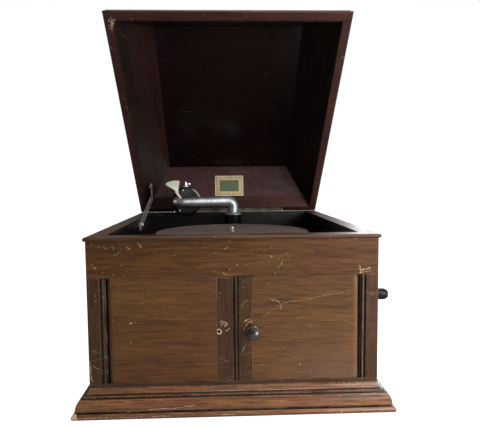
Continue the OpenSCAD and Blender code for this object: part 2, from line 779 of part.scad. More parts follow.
module door_panel_left() color("peru") {
    translate([-hinge_x, door_axis_y, 0]) pivot_edge();
    door_slab(-hinge_x + door_t / 2, seam_x - door_gap / 2 - stile_left);
}

module door_stile_left() color("sienna") difference() {
    door_slab(seam_x - door_gap / 2 - stile_left, seam_x - door_gap / 2);
    knob_hole(-knob_hole_x);
}

module knob_hole(x) translate([x, -hd - 1, knob_z]) rotate([-90, 0, 0]) cylinder(h = door_t + 2, r = knob_hole_r);

bead_x = seam_x + door_gap / 2;

module door_panel_right() color("peru") difference() {
    mirror([1, 0, 0]) {
        translate([-hinge_x, door_axis_y, 0]) pivot_edge();
        door_slab(-hinge_x + door_t / 2, -bead_x - bead_w - stile_right);
    }
    knob_hole(knob_x);
}

// The right door's meeting board carries the bead that covers the seam.
module door_stile_right() color("sienna") difference() {
    translate([0, 0, door_z0]) linear_extrude(door_z1 - door_z0)
        beaded(bead_x, bead_w, 2.4) translate([bead_x, -hd]) square([bead_w + stile_right, door_t]);
    knob_hole(knob_x);
}

// The turned knob, with its spigot through the door.
module door_knob() color("black") translate([knob_x, -hd, knob_z]) rotate([90, 0, 0])
    rotate_extrude() polygon([[0, -door_t], [knob_hole_r, -door_t], [knob_hole_r, 0],
        [knob_d * 0.26, 0], [knob_d * 0.24, 7], [knob_d * 0.36, 9.5], [knob_d * 0.5, 13.5],
        [knob_d * 0.5, 17.5], [knob_d * 0.4, 20.8], [knob_d * 0.2, 22.6], [0, 23]]);

module knob_ring() color("silver") translate([knob_x, -hd, knob_z]) rotate([90, 0, 0])
    washer(knob_d * 0.42, knob_d * 0.26 + run_gap, 1.4);

// Turntable

module platter() color("silver") translate([plat_x, plat_y, 0]) rotate_extrude() polygon([
    [shaft_r + run_gap, plat_z0 + 1], [13, plat_z0 + 1], [13, plat_z1 - 2.5], [platter_r - 3, plat_z1 - 2.5],
    [platter_r - 3, plat_z0], [platter_r - 0.8, plat_z0], [platter_r, plat_z0 + 1],
    [platter_r, plat_z1 - 1.5], [platter_r - 0.6, plat_z1 - 0.4], [platter_r - 1.6, plat_z1], [shaft_r + run_gap, plat_z1]]);

module felt_mat() color("tan") translate([plat_x, plat_y, plat_z1])
    washer(platter_r - 1.8, shaft_r + 0.5, felt_t);

pinion_z0 = plate_z1 - plate_t - 9;
wheel_z0 = pinion_z0 + 1.5;
worm_wheel_t = 3;

// Spindle shaft with its pinion and the wheel that drives the governor.
module spindle() color("silver") translate([plat_x, plat_y, 0]) {
    rotate_extrude() polygon([[0, frame_z0 - 4], [shaft_r, frame_z0 - 4], [shaft_r, board_z1 + 6],
        [8, board_z1 + 6], [8, plat_z0 + 1], [shaft_r, plat_z0 + 1], [shaft_r, plat_z1 - 1],
        [spindle_r, plat_z1 + 0.5], [spindle_r, felt_z + spindle_h - 2],
        [spindle_r - 0.7, felt_z + spindle_h - 0.6], [1.2, felt_z + spindle_h], [0, felt_z + spindle_h]]);
    translate([0, 0, pinion_z0]) rotate([0, 0, mid_dir]) linear_extrude(7) difference() {
        gear_outline(spindle_teeth, m_wheel);
        circle(r = shaft_r - 0.5);
    }
    translate([0, 0, worm_z - worm_wheel_t / 2]) linear_extrude(worm_wheel_t) difference() {
        gear_outline(worm_wheel_teeth, m_worm);
        circle(r = shaft_r - 0.5);
    }
}

module intermediate_gear() color("gold") translate([mid_x, mid_y, 0]) {
    difference() {
        union() {
            translate([0, 0, wheel_z0]) rotate([0, 0, mid_dir + 180 + 180 / wheel_teeth]) linear_extrude(2.5)
                gear_outline(wheel_teeth, m_wheel);
            translate([0, 0, barrel_z1 - 2]) rotate([0, 0, barrel_dir]) linear_extrude(8)
                gear_outline(pinion_teeth, m_barrel);
            translate([0, 0, frame_z0 - 2]) cylinder(h = plate_z1 - frame_z0 + 1.5, r = pin_r);
            translate([0, 0, barrel_z1 + 5]) cylinder(h = wheel_z0 - barrel_z1 - 4, r = 5);
        }
    }
}

ring_t = 4;
drum_r = barrel_teeth * m_barrel / 2 - 4;

module spring_barrel() color("goldenrod") translate([barrel_x, barrel_y, 0]) difference() {
    union() {
        translate([0, 0, barrel_z0]) cylinder(h = barrel_z1 - barrel_z0, r = drum_r);
        translate([0, 0, barrel_z1]) rotate([0, 0, barrel_dir + 180 + 180 / barrel_teeth]) linear_extrude(ring_t)
            gear_outline(barrel_teeth, m_barrel);
    }
    translate([0, 0, barrel_z0 + 2]) cylinder(h = barrel_z1 - barrel_z0 - 2, r = drum_r - 2);
    translate([0, 0, barrel_z0 - 1]) cylinder(h = barrel_z1 - barrel_z0 + ring_t + 2, r = arbor_r + run_gap);
}

// The coiled mainspring between the arbor's hub and the barrel's wall.
spring_r0 = arbor_r + 4.5;
spring_grow = (drum_r - 4 - spring_r0) / (spring_turns * 18);
function spring_point(i, out) = (spring_r0 + spring_grow * i + out) * [cos(20 * i), sin(20 * i)];

module mainspring() color("steelblue") translate([barrel_x, barrel_y, barrel_z0 + 3])
    linear_extrude(barrel_z1 - barrel_z0 - 5) polygon(concat(
        [for (i = [0 : spring_turns * 18]) spring_point(i, 0)],
        [for (i = [spring_turns * 18 : -1 : 0]) spring_point(i, 1.2)]));

worm_half = 14;
hub_near = 22;
hub_far = 60;
brake_disc_r = 15;

// Governor: worm, brake disc and three weights on flat springs.
module governor() color("goldenrod") translate([0, worm_y, worm_z]) rotate([0, -90, 0]) {
    x0 = -gov_x1 + 0.3;
    translate([0, 0, x0]) cylinder(h = gov_x1 - gov_x0 - 0.6, r = 1.5);
    translate([0, 0, -plat_x - worm_half]) rotate_extrude() polygon(concat([[0, 0]],
        [for (i = [0 : 13]) [worm_r - (i % 2 == 0 ? 0 : 0.9), i * 2 * worm_half / 13]], [[0, 2 * worm_half]]));
    translate([0, 0, -plat_x + hub_near]) cylinder(h = 6, r = 5);
    translate([0, 0, -plat_x + hub_far]) cylinder(h = 8, r = 5);
    translate([0, 0, -plat_x + hub_far + 8]) cylinder(h = 1.6, r = brake_disc_r);
    for (a = [0, 120, 240]) rotate([0, 0, a]) {
        translate([4, -3, -plat_x + hub_near + 0.5]) cube([7.4, 6, 1]);
        translate([10.6, -3, -plat_x + hub_near + 0.5]) cube([0.8, 6, hub_far - hub_near + 4]);
        translate([4, -3, -plat_x + hub_far + 3.5]) cube([7.4, 6, 1]);
        translate([10.8, -4, -plat_x + hub_near + 16]) cube([5, 8, 12]);
    }
}

// Winding wheel with upright teeth, its arbor and the hub inside the spring.
module winding_wheel() color("goldenrod") translate([barrel_x, barrel_y, 0]) {
    translate([0, 0, frame_z0 - 2]) cylinder(h = plate_z1 - frame_z0 + 1.5, r = arbor_r);
    translate([0, 0, barrel_z0 + 2.5]) cylinder(h = barrel_z1 - barrel_z0 - 3, r = arbor_r + 3.5);
    difference() {
        translate([0, 0, wind_z]) cylinder(h = 7, r = wind_r + 4);
        translate([0, 0, wind_z + 3]) cylinder(h = 5, r = wind_r - 5);
        for (i = [0 : winding_teeth - 1]) rotate([0, 0, i * 360 / winding_teeth])
            translate([wind_r - 8, 0, wind_z + 7.5]) rotate([90, 0, 90])
                linear_extrude(14) polygon([[-1.6, 0], [-0.95, -4], [0.95, -4], [1.6, 0]]);
    }
}

// Crank

module crank_frame() translate([0, crank_y, crank_z]) rotate([crank_rest, 0, 0]) children();

// The bends are swaged a hair thicker than the straight lengths, whose ends sit in them.
swage = 0.03;
rod_seat = 0.5;
shaft_x0 = barrel_x + wind_r - 4;

// The bent rod with the winding pinion at its inner end.
module crank_rod() color("dimgray") crank_frame() {
    translate([shaft_x0, 0, 0]) rotate([0, 90, 0])
        cylinder(h = crank_plane - crank_bend + rod_seat - shaft_x0, r = crank_r - swage);
    translate([crank_plane - crank_bend, 0, -crank_bend]) rotate([90, 0, 0]) quarter_bend(crank_bend, crank_r, 0);
    translate([crank_plane, 0, -crank_len + crank_bend - rod_seat])
        cylinder(h = crank_len - 2 * crank_bend + 2 * rod_seat, r = crank_r - swage);
    translate([crank_plane + crank_bend, 0, -crank_len + crank_bend]) rotate([90, 0, 0])
        quarter_bend(crank_bend, crank_r, 180);
    translate([crank_plane + crank_bend, 0, -crank_len]) rotate([0, 90, 0]) {
        translate([0, 0, -rod_seat]) cylinder(h = grip_len + 4.5 + rod_seat, r = crank_r - 1);
        translate([0, 0, -rod_seat]) cylinder(h = 1.6 + rod_seat, r = crank_r + 2);
        translate([0, 0, grip_len + 2.5]) cylinder(h = 2, r = crank_r + 3);
    }
    translate([shaft_x0 + 1, 0, 0]) rotate([0, 90, 0]) rotate([0, 0, -crank_rest])
        linear_extrude(6) gear_outline(crank_teeth, m_wind);
}

// The turned grip that spins on the end of the rod.
module crank_grip() color("black") crank_frame()
    translate([crank_plane + crank_bend + 2, 0, -crank_len]) rotate([0, 90, 0]) rotate_extrude() polygon([
        [crank_r - 1 + run_gap, 0], [grip_r * 0.62, 0], [grip_r * 0.74, 1.5], [grip_r * 0.66, 5],
        [grip_r * 0.7, grip_len * 0.25], [grip_r * 0.82, grip_len * 0.45], [grip_r * 0.94, grip_len * 0.65],
        [grip_r, grip_len * 0.82], [grip_r * 0.97, grip_len * 0.93], [grip_r * 0.8, grip_len],
        [crank_r - 1 + run_gap, grip_len]]);

// Tone arm. Its frame has +X along the parked arm, -Y away from the front, the axis at Z = 0.

module arm_frame() translate([arm_x, arm_y, arm_z]) rotate([0, 0, 180 + arm_park]) children();

module rear_run(d, over) {
    translate([0, 0, collar_z - 30 - arm_z - over]) cylinder(h = arm_z - collar_z + 30 - elbow_bend + over, r = tube_r0 - d);
    translate([elbow_bend, 0, -elbow_bend]) rotate([90, 0, 0]) quarter_bend(elbow_bend, tube_r0 - d, 90);
    translate([elbow_bend, 0, 0]) rotate([0, 90, 0])
        cylinder(h = seam_s - elbow_bend + over, r1 = tube_r0 - d, r2 = tube_r0 - 1 - d);
}

skirt_r = collar_r - 1.4;

// The turning root of the arm: upright tube on a skirt, elbow and the first run.
module arm_tube_rear() color("silver") arm_frame() difference() {
    union() {
        rear_run(0, 0);
        translate([0, 0, collar_z - arm_z + 0.3]) cylinder(h = 1.4, r = skirt_r);
        translate([0, 0, collar_z - arm_z + 1.7]) cylinder(h = 3.6, r1 = skirt_r - 0.6, r2 = tube_r0 + 0.8);
    }
    rear_run(tube_wall, 1);
    translate([seam_s - 1.7, 0, 0]) rotate([0, 90, 0]) difference() {
        cylinder(h = 1.7, r = tube_r0 + 3);
        translate([0, 0, -1]) cylinder(h = 4, r = tube_r0 - 1.9);
    }
}

module front_run(d, over) {
    run = arm_reach - tip_bend - seam_s;
    translate([seam_s - over, 0, 0]) rotate([0, 90, 0]) cylinder(h = run + over, r1 = tube_r0 - 0.8 - d, r2 = tube_r1 - d);
    translate([arm_reach - tip_bend, -tip_bend, 0]) quarter_bend(tip_bend, tube_r1 - d, 0);
}

// The tapered end of the arm, which turns away to carry the swan-neck.
module arm_tube_front() color("silver") arm_frame() difference() {
    union() {
        front_run(0, 0);
        translate([arm_reach, -tip_bend, 0]) rotate([90, 0, 0]) cylinder(h = joint_b + 4.5 - tip_bend, r = stub_r);
    }
    front_run(2.6, 1);
    translate([arm_reach, -tip_bend + 1, 0]) rotate([90, 0, 0]) cylinder(h = 8, r = stub_r - 1.2);
}

module neck_run(d, over) {
    translate([arm_reach - neck_bend, -neck_b0, 0]) quarter_bend(neck_bend, neck_r - d, 270);
    translate([box_s + neck_bend, -neck_b0 - neck_bend, 0]) rotate([0, 90, 0])
        cylinder(h = neck_w - 2 * neck_bend, r = neck_r - d);
    translate([box_s + neck_bend, -neck_b1, 0]) quarter_bend(neck_bend, neck_r - d, 90);
    translate([box_s, -neck_b1, 0]) rotate([90, 0, 0]) cylinder(h = 1.5 + over, r = neck_r - d);
}

// The swan-neck: a socket on the arm's stub and an S-shaped tube to the sound box.
module swan_neck() color("silver") arm_frame() difference() {
    union() {
        translate([arm_reach, -joint_b, 0]) rotate([90, 0, 0]) cylinder(h = neck_b0 - joint_b, r = stub_r + 2.3);
        neck_run(0, 0);
    }
    translate([arm_reach, -joint_b + 1, 0]) rotate([90, 0, 0]) cylinder(h = neck_b0 - joint_b + 1, r = stub_r + run_gap);
    neck_run(neck_wall, 1);
}

module at_box() arm_frame() translate([box_s, 0, 0]) rotate([90, 0, 0]) children();

module sound_box_case() color("black") at_box() rotate_extrude() polygon([
    [neck_r + 0.1, box_b0], [neck_r + 6, box_b0], [neck_r + 7, box_b0 + 1.5], [box_r - 5, box_b0 + 1.5],
    [box_r - 1, box_b0 + 2.5], [box_r, box_b0 + 4], [box_r, box_b1 - 2.5], [box_r - 4, box_b1 - 2.5],
    [box_r - 4, box_b0 + 4.5], [neck_r + 0.1, box_b0 + 4.5]]);

module sound_box_ring() color("black") at_box() translate([0, 0, box_b1 - 2.5]) rotate_extrude() polygon([
    [box_r - 9, 0], [box_r, 0], [box_r, 1.4], [box_r - 1.2, 2.5], [box_r - 7.5, 2.5], [box_r - 9, 1.5]]);

module diaphragm() color("lightgray") at_box() translate([0, 0, box_b1 - 4.2])
    washer(box_r - 4.1, 0.9, 0.4);

// The stylus bar: screwed to the diaphragm's middle, across the ring to the needle socket.
module stylus_bar() color("silver") at_box() difference() {
    union() {
        translate([0, 0, box_b1 - 6]) cylinder(h = bar_b - box_b1 + 4.6, r = 0.8);
        translate([0, 0, box_b1 - 3.7]) cylinder(h = bar_b - box_b1 + 2.4, r = 1.8);
        translate([-1.6, -1.8, bar_b - 1.4]) cube([3.2, socket_z0 + 3, 2.6]);
        translate([0, socket_z0, bar_b]) rotate([-90, 0, 0]) cylinder(h = socket_z1 - socket_z0, r = 3.3);
        translate([-6, box_r - 3.6, box_b1 + 0.1]) cube([12, 4.2, 3.6]);
    }
    translate([0, socket_z1 - 6, bar_b]) rotate([-90, 0, 0]) cylinder(h = 8, r = needle_r + run_gap);
    translate([0, socket_z1 - 4, bar_b]) rotate([0, -90, 0]) cylinder(h = 6, r = 1.5 + run_gap);
}

module needle() color("gainsboro") at_box() translate([0, 0, bar_b]) rotate([-90, 0, 0]) {
    tip = 5;
    translate([0, 0, socket_z1 - 6]) cylinder(h = needle_reach - socket_z1 + 6 - tip, r = needle_r);
    translate([0, 0, needle_reach - tip]) cylinder(h = tip, r1 = needle_r, r2 = 0.15);
}

// The thumb screw that clamps the needle, on the side towards the arm's pivot.
module needle_screw() color("silver") at_box() translate([0, socket_z1 - 4, bar_b]) rotate([0, -90, 0]) {
    translate([0, 0, needle_r + 0.3]) cylinder(h = 4.5, r = 1.5);
    translate([0, 0, 4.6]) cylinder(h = 6.5, r = 2.2);
    translate([0, 0, 6]) cylinder(h = 4, r = 4.6);
}

// Brush: the place of its stem's foot and head along the arm, and the head's height.
brush_foot = arm_reach - 14.5;
brush_head = arm_reach - 1.8;
stem_top = 26;
stem_w = 4.6;
brush_root = 3.2;

// Brush stem: an open clip round the swan-neck and a flat stem that leans away from the pivot.
module brush_stem() color("white") arm_frame() difference() {
    union() {
        translate([brush_foot, -neck_b0 - neck_bend, 0]) rotate([0, 90, 0]) cylinder(h = 5, r = neck_r + 1.3);
        translate([0, -neck_b0 - neck_bend + 1.5, 0]) rotate([90, 0, 0]) linear_extrude(3) polygon([
            [brush_foot + 0.2, neck_r - 0.5], [brush_foot + 4.8, neck_r - 0.5],
            [brush_head + stem_w / 2 + 0.4, stem_top - 6], [brush_head + brush_root + 0.3, stem_top - 3],
            [brush_head + brush_root + 0.3, stem_top], [brush_head - brush_root - 0.3, stem_top],
            [brush_head - brush_root - 0.3, stem_top - 3], [brush_head - stem_w / 2 - 0.8, stem_top - 6]]);
    }
    translate([box_s, -neck_b0 - neck_bend, 0]) rotate([0, 90, 0]) cylinder(h = neck_w, r = neck_r + 0.05);
    translate([box_s, -box_b0 + 0.3 - 20, -15]) cube([neck_w, 20, 30]);
}

// Strands stand in rows on a slice of the stem. They fan out from nearly upright on the
// pivot's side to a low slant on the far side, where they are longest.
rows = 8;
per_row = strands / rows;
strand_w = 0.06;
strand_corners = [[strand_w, 0, 0], [-strand_w, strand_w, 0], [-strand_w, -strand_w, 0]];
function strand_share(i) = i / (per_row - 1);
function strand_row(j) = 2 * j / (rows - 1) - 1;
function strand_turn(i) = 57 * strand_share(i) - 4;
function strand_len(i) = 23.6 + 4.9 * pow(strand_share(i), 2);
function strand_root(i, j) = [brush_root * (2 * strand_share(i) - 1), 1.2 * strand_row(j), 0.5];
function strand_tip(i, j) = strand_root(i, j)
    + [strand_len(i) * sin(strand_turn(i)), 1.4 * strand_row(j), strand_len(i) * cos(strand_turn(i))];

module strand_line(j) polyhedron(
    points = [for (i = [0 : per_row - 1]) each concat(
        [for (c = strand_corners) strand_root(i, j) + c],
        [for (c = strand_corners) strand_tip(i, j) + c * 0.9])],
    faces = [for (i = [0 : per_row - 1]) let (k = 6 * i) each [
        [k, k + 1, k + 2], [k + 5, k + 4, k + 3],
        [k, k + 3, k + 4], [k, k + 4, k + 1], [k + 1, k + 4, k + 5],
        [k + 1, k + 5, k + 2], [k + 2, k + 5, k + 3], [k + 2, k + 3, k]]]);

module brush_bristles() color("ivory") arm_frame()
    translate([brush_head, -neck_b0 - neck_bend, stem_top]) {
        translate([-brush_root - 0.3, -1.4, 0]) cube([2 * brush_root + 0.6, 2.8, 1]);
        for (j = [0 : rows - 1]) strand_line(j);
    }

// Levers on the motor board

module lever(len, t) difference() {
    union() {
        cylinder(h = t, r = 6);
        translate([0, -3, 0]) cube([len, 6, t]);
        translate([len, 0, 0]) cylinder(h = t + 3, r = 4);
    }
}

module speed_lever() color("silver") translate([speed_x, speed_y, board_z1]) {
    translate([0, 0, 0.3]) rotate([0, 0, 180]) lever(26, 2);
    translate([0, 0, -board_t - 6]) cylinder(h = board_t + 8, r = 3 - run_gap);
    translate([0, 0, 2]) cylinder(h = 2, r = 4);
}

module brake_lever() color("silver") translate([brake_x, brake_y, board_z1]) {
    translate([0, 0, 0.3]) rotate([0, 0, -90]) lever(34, 2);
    translate([0, 0, -board_t - 2]) cylinder(h = board_t + 4, r = 3 - run_gap);
    translate([0, 0, 2]) cylinder(h = 2, r = 4);
}

base_board();
plinth_moulding();
side_panel_left();
side_panel_right();
back_panel();
bottom_rail();
front_frieze();
front_posts();
rim_moulding();
board_battens();
motor_board();
board_screws();
horn();
horn_elbow();
crank_escutcheon();
needle_cups();
arm_base();
hinge_leaf_body();
hinge_pin();
stay_stud();
door_pivots();
motor_frame();
lid_frame();
lid_front_panel();
lid_back_panel();
lid_side_panels();
lid_top_board();
label_plate();
hinge_leaf_lid();
stay_bracket();
lid_stay();
door_panel_left();
door_stile_left();
door_panel_right();
door_stile_right();
door_knob();
knob_ring();
platter();
felt_mat();
spindle();
intermediate_gear();
spring_barrel();
mainspring();
governor();
winding_wheel();
crank_rod();
crank_grip();
arm_tube_rear();
arm_tube_front();
swan_neck();
sound_box_case();
sound_box_ring();
diaphragm();
stylus_bar();
needle();
needle_screw();
brush_stem();
brush_bristles();
speed_lever();
brake_lever();
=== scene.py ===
import math
import random

import bmesh
import bpy
from mathutils import Matrix, Vector


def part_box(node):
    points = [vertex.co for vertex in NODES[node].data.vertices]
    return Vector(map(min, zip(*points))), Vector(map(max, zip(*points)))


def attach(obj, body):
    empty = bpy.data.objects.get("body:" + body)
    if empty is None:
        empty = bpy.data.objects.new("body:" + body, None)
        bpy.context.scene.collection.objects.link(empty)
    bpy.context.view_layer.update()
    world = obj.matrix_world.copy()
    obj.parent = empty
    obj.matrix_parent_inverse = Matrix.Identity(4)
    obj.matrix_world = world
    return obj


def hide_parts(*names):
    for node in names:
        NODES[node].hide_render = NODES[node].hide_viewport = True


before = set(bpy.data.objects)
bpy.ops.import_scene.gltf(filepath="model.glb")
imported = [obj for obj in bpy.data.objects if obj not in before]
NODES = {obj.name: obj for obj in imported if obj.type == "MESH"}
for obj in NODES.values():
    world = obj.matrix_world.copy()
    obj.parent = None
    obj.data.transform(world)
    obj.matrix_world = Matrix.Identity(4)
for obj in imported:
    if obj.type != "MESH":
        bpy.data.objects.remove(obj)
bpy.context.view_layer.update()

# The studio. A white table and room with soft windows: a large near one in front on the
# right, small ones above and below it, a dim one on the left, one overhead, two behind.
# The camera stands where the photograph was taken, a little left of the middle.
CAMERA_AT = Vector((-0.0151, -0.9493, 0.34825))
CAMERA_YAW, CAMERA_PITCH, CAMERA_ROLL = (math.radians(a) for a in (-2.06, -4.383, 0.55))
LENS_MM, SENSOR_MM = 36.0, 36.0
NEAREST, FARTHEST = 0.02, 50


def aim_camera():
    level_right = Vector((math.cos(CAMERA_YAW), math.sin(CAMERA_YAW), 0))
    level_ahead = Vector((-math.sin(CAMERA_YAW), math.cos(CAMERA_YAW), 0))
    ahead = math.cos(CAMERA_PITCH) * level_ahead + math.sin(CAMERA_PITCH) * Vector((0, 0, 1))
    above = -math.sin(CAMERA_PITCH) * level_ahead + math.cos(CAMERA_PITCH) * Vector((0, 0, 1))
    right = math.cos(CAMERA_ROLL) * level_right - math.sin(CAMERA_ROLL) * above
    up = math.sin(CAMERA_ROLL) * level_right + math.cos(CAMERA_ROLL) * above
    turn = Matrix((right, up, -ahead)).transposed().to_4x4()
    data = bpy.data.cameras.new("camera")
    data.sensor_fit = "HORIZONTAL"
    data.sensor_width = SENSOR_MM
    data.lens = LENS_MM
    data.clip_start, data.clip_end = NEAREST, FARTHEST
    camera = bpy.data.objects.new("camera", data)
    bpy.context.scene.collection.objects.link(camera)
    camera.matrix_world = Matrix.Translation(CAMERA_AT) @ turn
    bpy.context.scene.camera = camera


def soft_window(name, at, aimed_at, width, height, watts, tint):
    data = bpy.data.lights.new(name, "AREA")
    data.shape = "RECTANGLE"
    data.size, data.size_y = width, height
    data.energy = watts
    data.color = tint
    light = bpy.data.objects.new(name, data)
    bpy.context.scene.collection.objects.link(light)
    light.location = at
    light.rotation_euler = (Vector(aimed_at) - Vector(at)).to_track_quat("-Z", "Y").to_euler()


def put(tree, kind, sockets=None, **settings):
    """Adds a shader node. sockets maps an input's name or number to a value or an output."""
    node = tree.nodes.new(kind)
    for key, value in settings.items():
        setattr(node, key, value)
    for key, value in (sockets or {}).items():
        if isinstance(value, bpy.types.NodeSocket):
            tree.links.new(value, node.inputs[key])
        else:
            node.inputs[key].default_value = value
    return node


def new_material(name):
    """A fresh material, its node tree and its Principled shader."""
    made = bpy.data.materials.new(name)
    made.use_nodes = True
    return made, made.node_tree, made.node_tree.nodes["Principled BSDF"]


aim_camera()
WARM_WHITE, SUN_WHITE, COOL_WHITE = (1.0, 0.97, 0.93), (1.0, 0.98, 0.95), (0.95, 0.97, 1.0)
PURE_WHITE, LOW_SUN_WHITE, NORTH_WHITE = (1.0, 1.0, 1.0), (1.0, 0.99, 0.97), (0.98, 0.99, 1.0)
soft_window("window_right", (0.84, -0.72, 0.42), (0.14, -0.25, 0.12), 0.7, 0.8, 13, WARM_WHITE)
soft_window("window_left", (-1.6, -1.2, 1.0), (0, 0, 0.25), 0.9, 1.1, 1, COOL_WHITE)
soft_window("window_high", (0.75, -0.95, 1.6), (0.15, -0.1, 0.2), 0.36, 0.36, 6, SUN_WHITE)
soft_window("window_low", (0.52, -1.35, 0.40), (0.185, -0.27, 0.02), 0.26, 0.12, 1.5,
            LOW_SUN_WHITE)
soft_window("window_above", (0.1, 0.2, 2.1), (0, 0, 0.2), 1.3, 1.3, 18, PURE_WHITE)
soft_window("window_left_behind", (-1.7, 0.7, 0.9), (0, 0.1, 0.2), 1.0, 1.0, 6,
            NORTH_WHITE)
soft_window("window_behind", (1.3, 1.9, 0.9), (0, 0.2, 0.2), 1.2, 1.0, 14, PURE_WHITE)

ROOM_DIM, ROOM_BRIGHT = 0.05, 0.28
room = bpy.data.worlds.new("white_room")
bpy.context.scene.world = room
room.use_nodes = True
walls = room.node_tree
looking = put(walls, "ShaderNodeTexCoord").outputs["Generated"]
sideways = put(walls, "ShaderNodeSeparateXYZ", {"Vector": looking}).outputs["X"]
room_light = put(walls, "ShaderNodeMapRange", {
    "Value": sideways, "From Min": -0.8, "From Max": 0.9,
    "To Min": ROOM_DIM, "To Max": ROOM_BRIGHT}).outputs[0]
seen_directly = put(walls, "ShaderNodeLightPath").outputs["Is Camera Ray"]
brightness = put(walls, "ShaderNodeMath", {0: room_light, 1: seen_directly},
                 operation="MAXIMUM").outputs[0]
walls.links.new(brightness, walls.nodes["Background"].inputs["Strength"])
walls.nodes["Background"].inputs["Color"].default_value = (1, 1, 1, 1)
bpy.context.scene.view_settings.view_transform = "Standard"

TABLE_SIZE, TABLE_HEIGHT = 14, -0.0004
PAPER_TONES = (0.38, 0.38, 0.38, 1), (0.42, 0.42, 0.42, 1)
bpy.ops.mesh.primitive_grid_add(x_subdivisions=4, y_subdivisions=4, size=TABLE_SIZE,
                                location=(0, 0, TABLE_HEIGHT))
table_top = bpy.context.object
table_top.name = "table_top"
paper, tree, bsdf = new_material("white_paper")
mottle = put(tree, "ShaderNodeTexNoise", {"Scale": 3.0, "Detail": 2.0}).outputs[0]
paper_tone = put(tree, "ShaderNodeMix", {"Factor": mottle, 6: PAPER_TONES[0], 7: PAPER_TONES[1]},
                 data_type="RGBA").outputs[2]
tree.links.new(paper_tone, bsdf.inputs["Base Color"])
bsdf.inputs["Roughness"].default_value = 0.9
bsdf.inputs["Emission Color"].default_value = (1, 1, 1, 1)
straight_on = put(tree, "ShaderNodeLightPath").outputs["Is Camera Ray"]
tree.links.new(straight_on, bsdf.inputs["Emission Strength"])
table_top.data.materials.append(paper)


# The carcase: base board, sides, back, bottom rail and the deep board over the doors.
# Solid mahogany, planed, stained and french polished. Its grain runs along each board,
# its corners are rubbed and a hundred years have left pale chips and fine scratches.
def linear(red, green, blue):
    """A colour as it looks on a screen, 0 to 255, as the light that the shaders mix."""
    def one(v):
        v /= 255
        return v / 12.92 if v < 0.04045 else ((v + 0.055) / 1.055) ** 2.4
    return (one(red), one(green), one(blue), 1.0)


DARKER_SHARE = 0.35


def darker(tone):
    """The same tone with about a third of its light."""
    return tuple(c * DARKER_SHARE for c in tone[:3]) + (1,)


def coat_with(made, *names):
    """Gives CAD nodes their material."""
    for name in names:
        slots = NODES[name].data.materials
        slots.clear()
        slots.append(made)


def new_group(name, inputs, outputs):
    """An effect that several finishes share: a node group with named sockets. inputs gives
    each one its usual value, or None for a vector. Each output is a mask or a number."""
    made = bpy.data.node_groups.new(name, "ShaderNodeTree")
    for label, value in inputs.items():
        kind = "NodeSocketVector" if value is None else "NodeSocketFloat"
        socket = made.interface.new_socket(label, in_out="INPUT", socket_type=kind)
        if value is not None:
            socket.default_value = value
    for label in outputs:
        made.interface.new_socket(label, in_out="OUTPUT", socket_type="NodeSocketFloat")
    outer_end = made.nodes.new("NodeGroupInput").outputs
    return made, outer_end, made.nodes.new("NodeGroupOutput").inputs


def place(tree, group, sockets):
    """Puts a shared effect in a material, with its own values, and returns its outputs."""
    return put(tree, "ShaderNodeGroup", sockets, node_tree=group).outputs


def value_of(tree, operation, a, b=0.5, clamp=False):
    return put(tree, "ShaderNodeMath", {0: a, 1: b}, operation=operation,
               use_clamp=clamp).outputs[0]


def times(tree, a, b, clamp=False):
    return value_of(tree, "MULTIPLY", a, b, clamp)


def plus(tree, a, b, clamp=False):
    return value_of(tree, "ADD", a, b, clamp)


def off_middle(tree, value):
    """How far a value from 0 to 1 is from a half, on either side."""
    return value_of(tree, "ABSOLUTE", value_of(tree, "SUBTRACT", value, 0.5))


def vector_of(tree, operation, a, b):
    node = put(tree, "ShaderNodeVectorMath", {0: a, 1: b}, operation=operation)
    return node.outputs["Value" if operation in ("DOT_PRODUCT", "DISTANCE") else "Vector"]


def ramp(tree, value, low, high, to_low=0.0, to_high=1.0):
    return put(tree, "ShaderNodeMapRange", {"Value": value, "From Min": low, "From Max": high,
                                            "To Min": to_low, "To Max": to_high}).outputs[0]


def mixed(tree, factor, a, b, how="MIX"):
    return put(tree, "ShaderNodeMix", {"Factor": factor, 6: a, 7: b}, data_type="RGBA",
               blend_type=how).outputs[2]


def noise(tree, vector, scale, detail=2.0, roughness=0.5):
    return put(tree, "ShaderNodeTexNoise", {"Vector": vector, "Scale": scale, "Detail": detail,
                                            "Roughness": roughness}).outputs[0]


def coloured_noise(tree, vector, scale):
    return put(tree, "ShaderNodeTexNoise", {"Vector": vector, "Scale": scale,
                                            "Detail": 3.0}).outputs["Color"]


def sliced_noise(tree, vector, slice_at, **sockets):
    """One slice of a noise in four dimensions, so that each slice has a pattern of its own."""
    return put(tree, "ShaderNodeTexNoise", {"Vector": vector, "W": slice_at, **sockets},
               noise_dimensions="4D").outputs[0]


def stretched(tree, vector, scale, turned=(0, 0, 0)):
    return put(tree, "ShaderNodeMapping", {"Vector": vector, "Scale": scale,
                                           "Rotation": turned}).outputs[0]


def rounded_normal(tree, radius):
    return put(tree, "ShaderNodeBevel", {"Radius": radius}, samples=4).outputs[0]


def openness(tree, reach):
    """Nearly 1 on an open face and less in a corner, where shade falls and dirt settles."""
    return put(tree, "ShaderNodeAmbientOcclusion", {"Distance": reach}, samples=4).outputs["AO"]


def relief(tree, height, strength, distance, **sockets):
    return put(tree, "ShaderNodeBump", {"Height": height, "Strength": strength,
                                        "Distance": distance, **sockets})


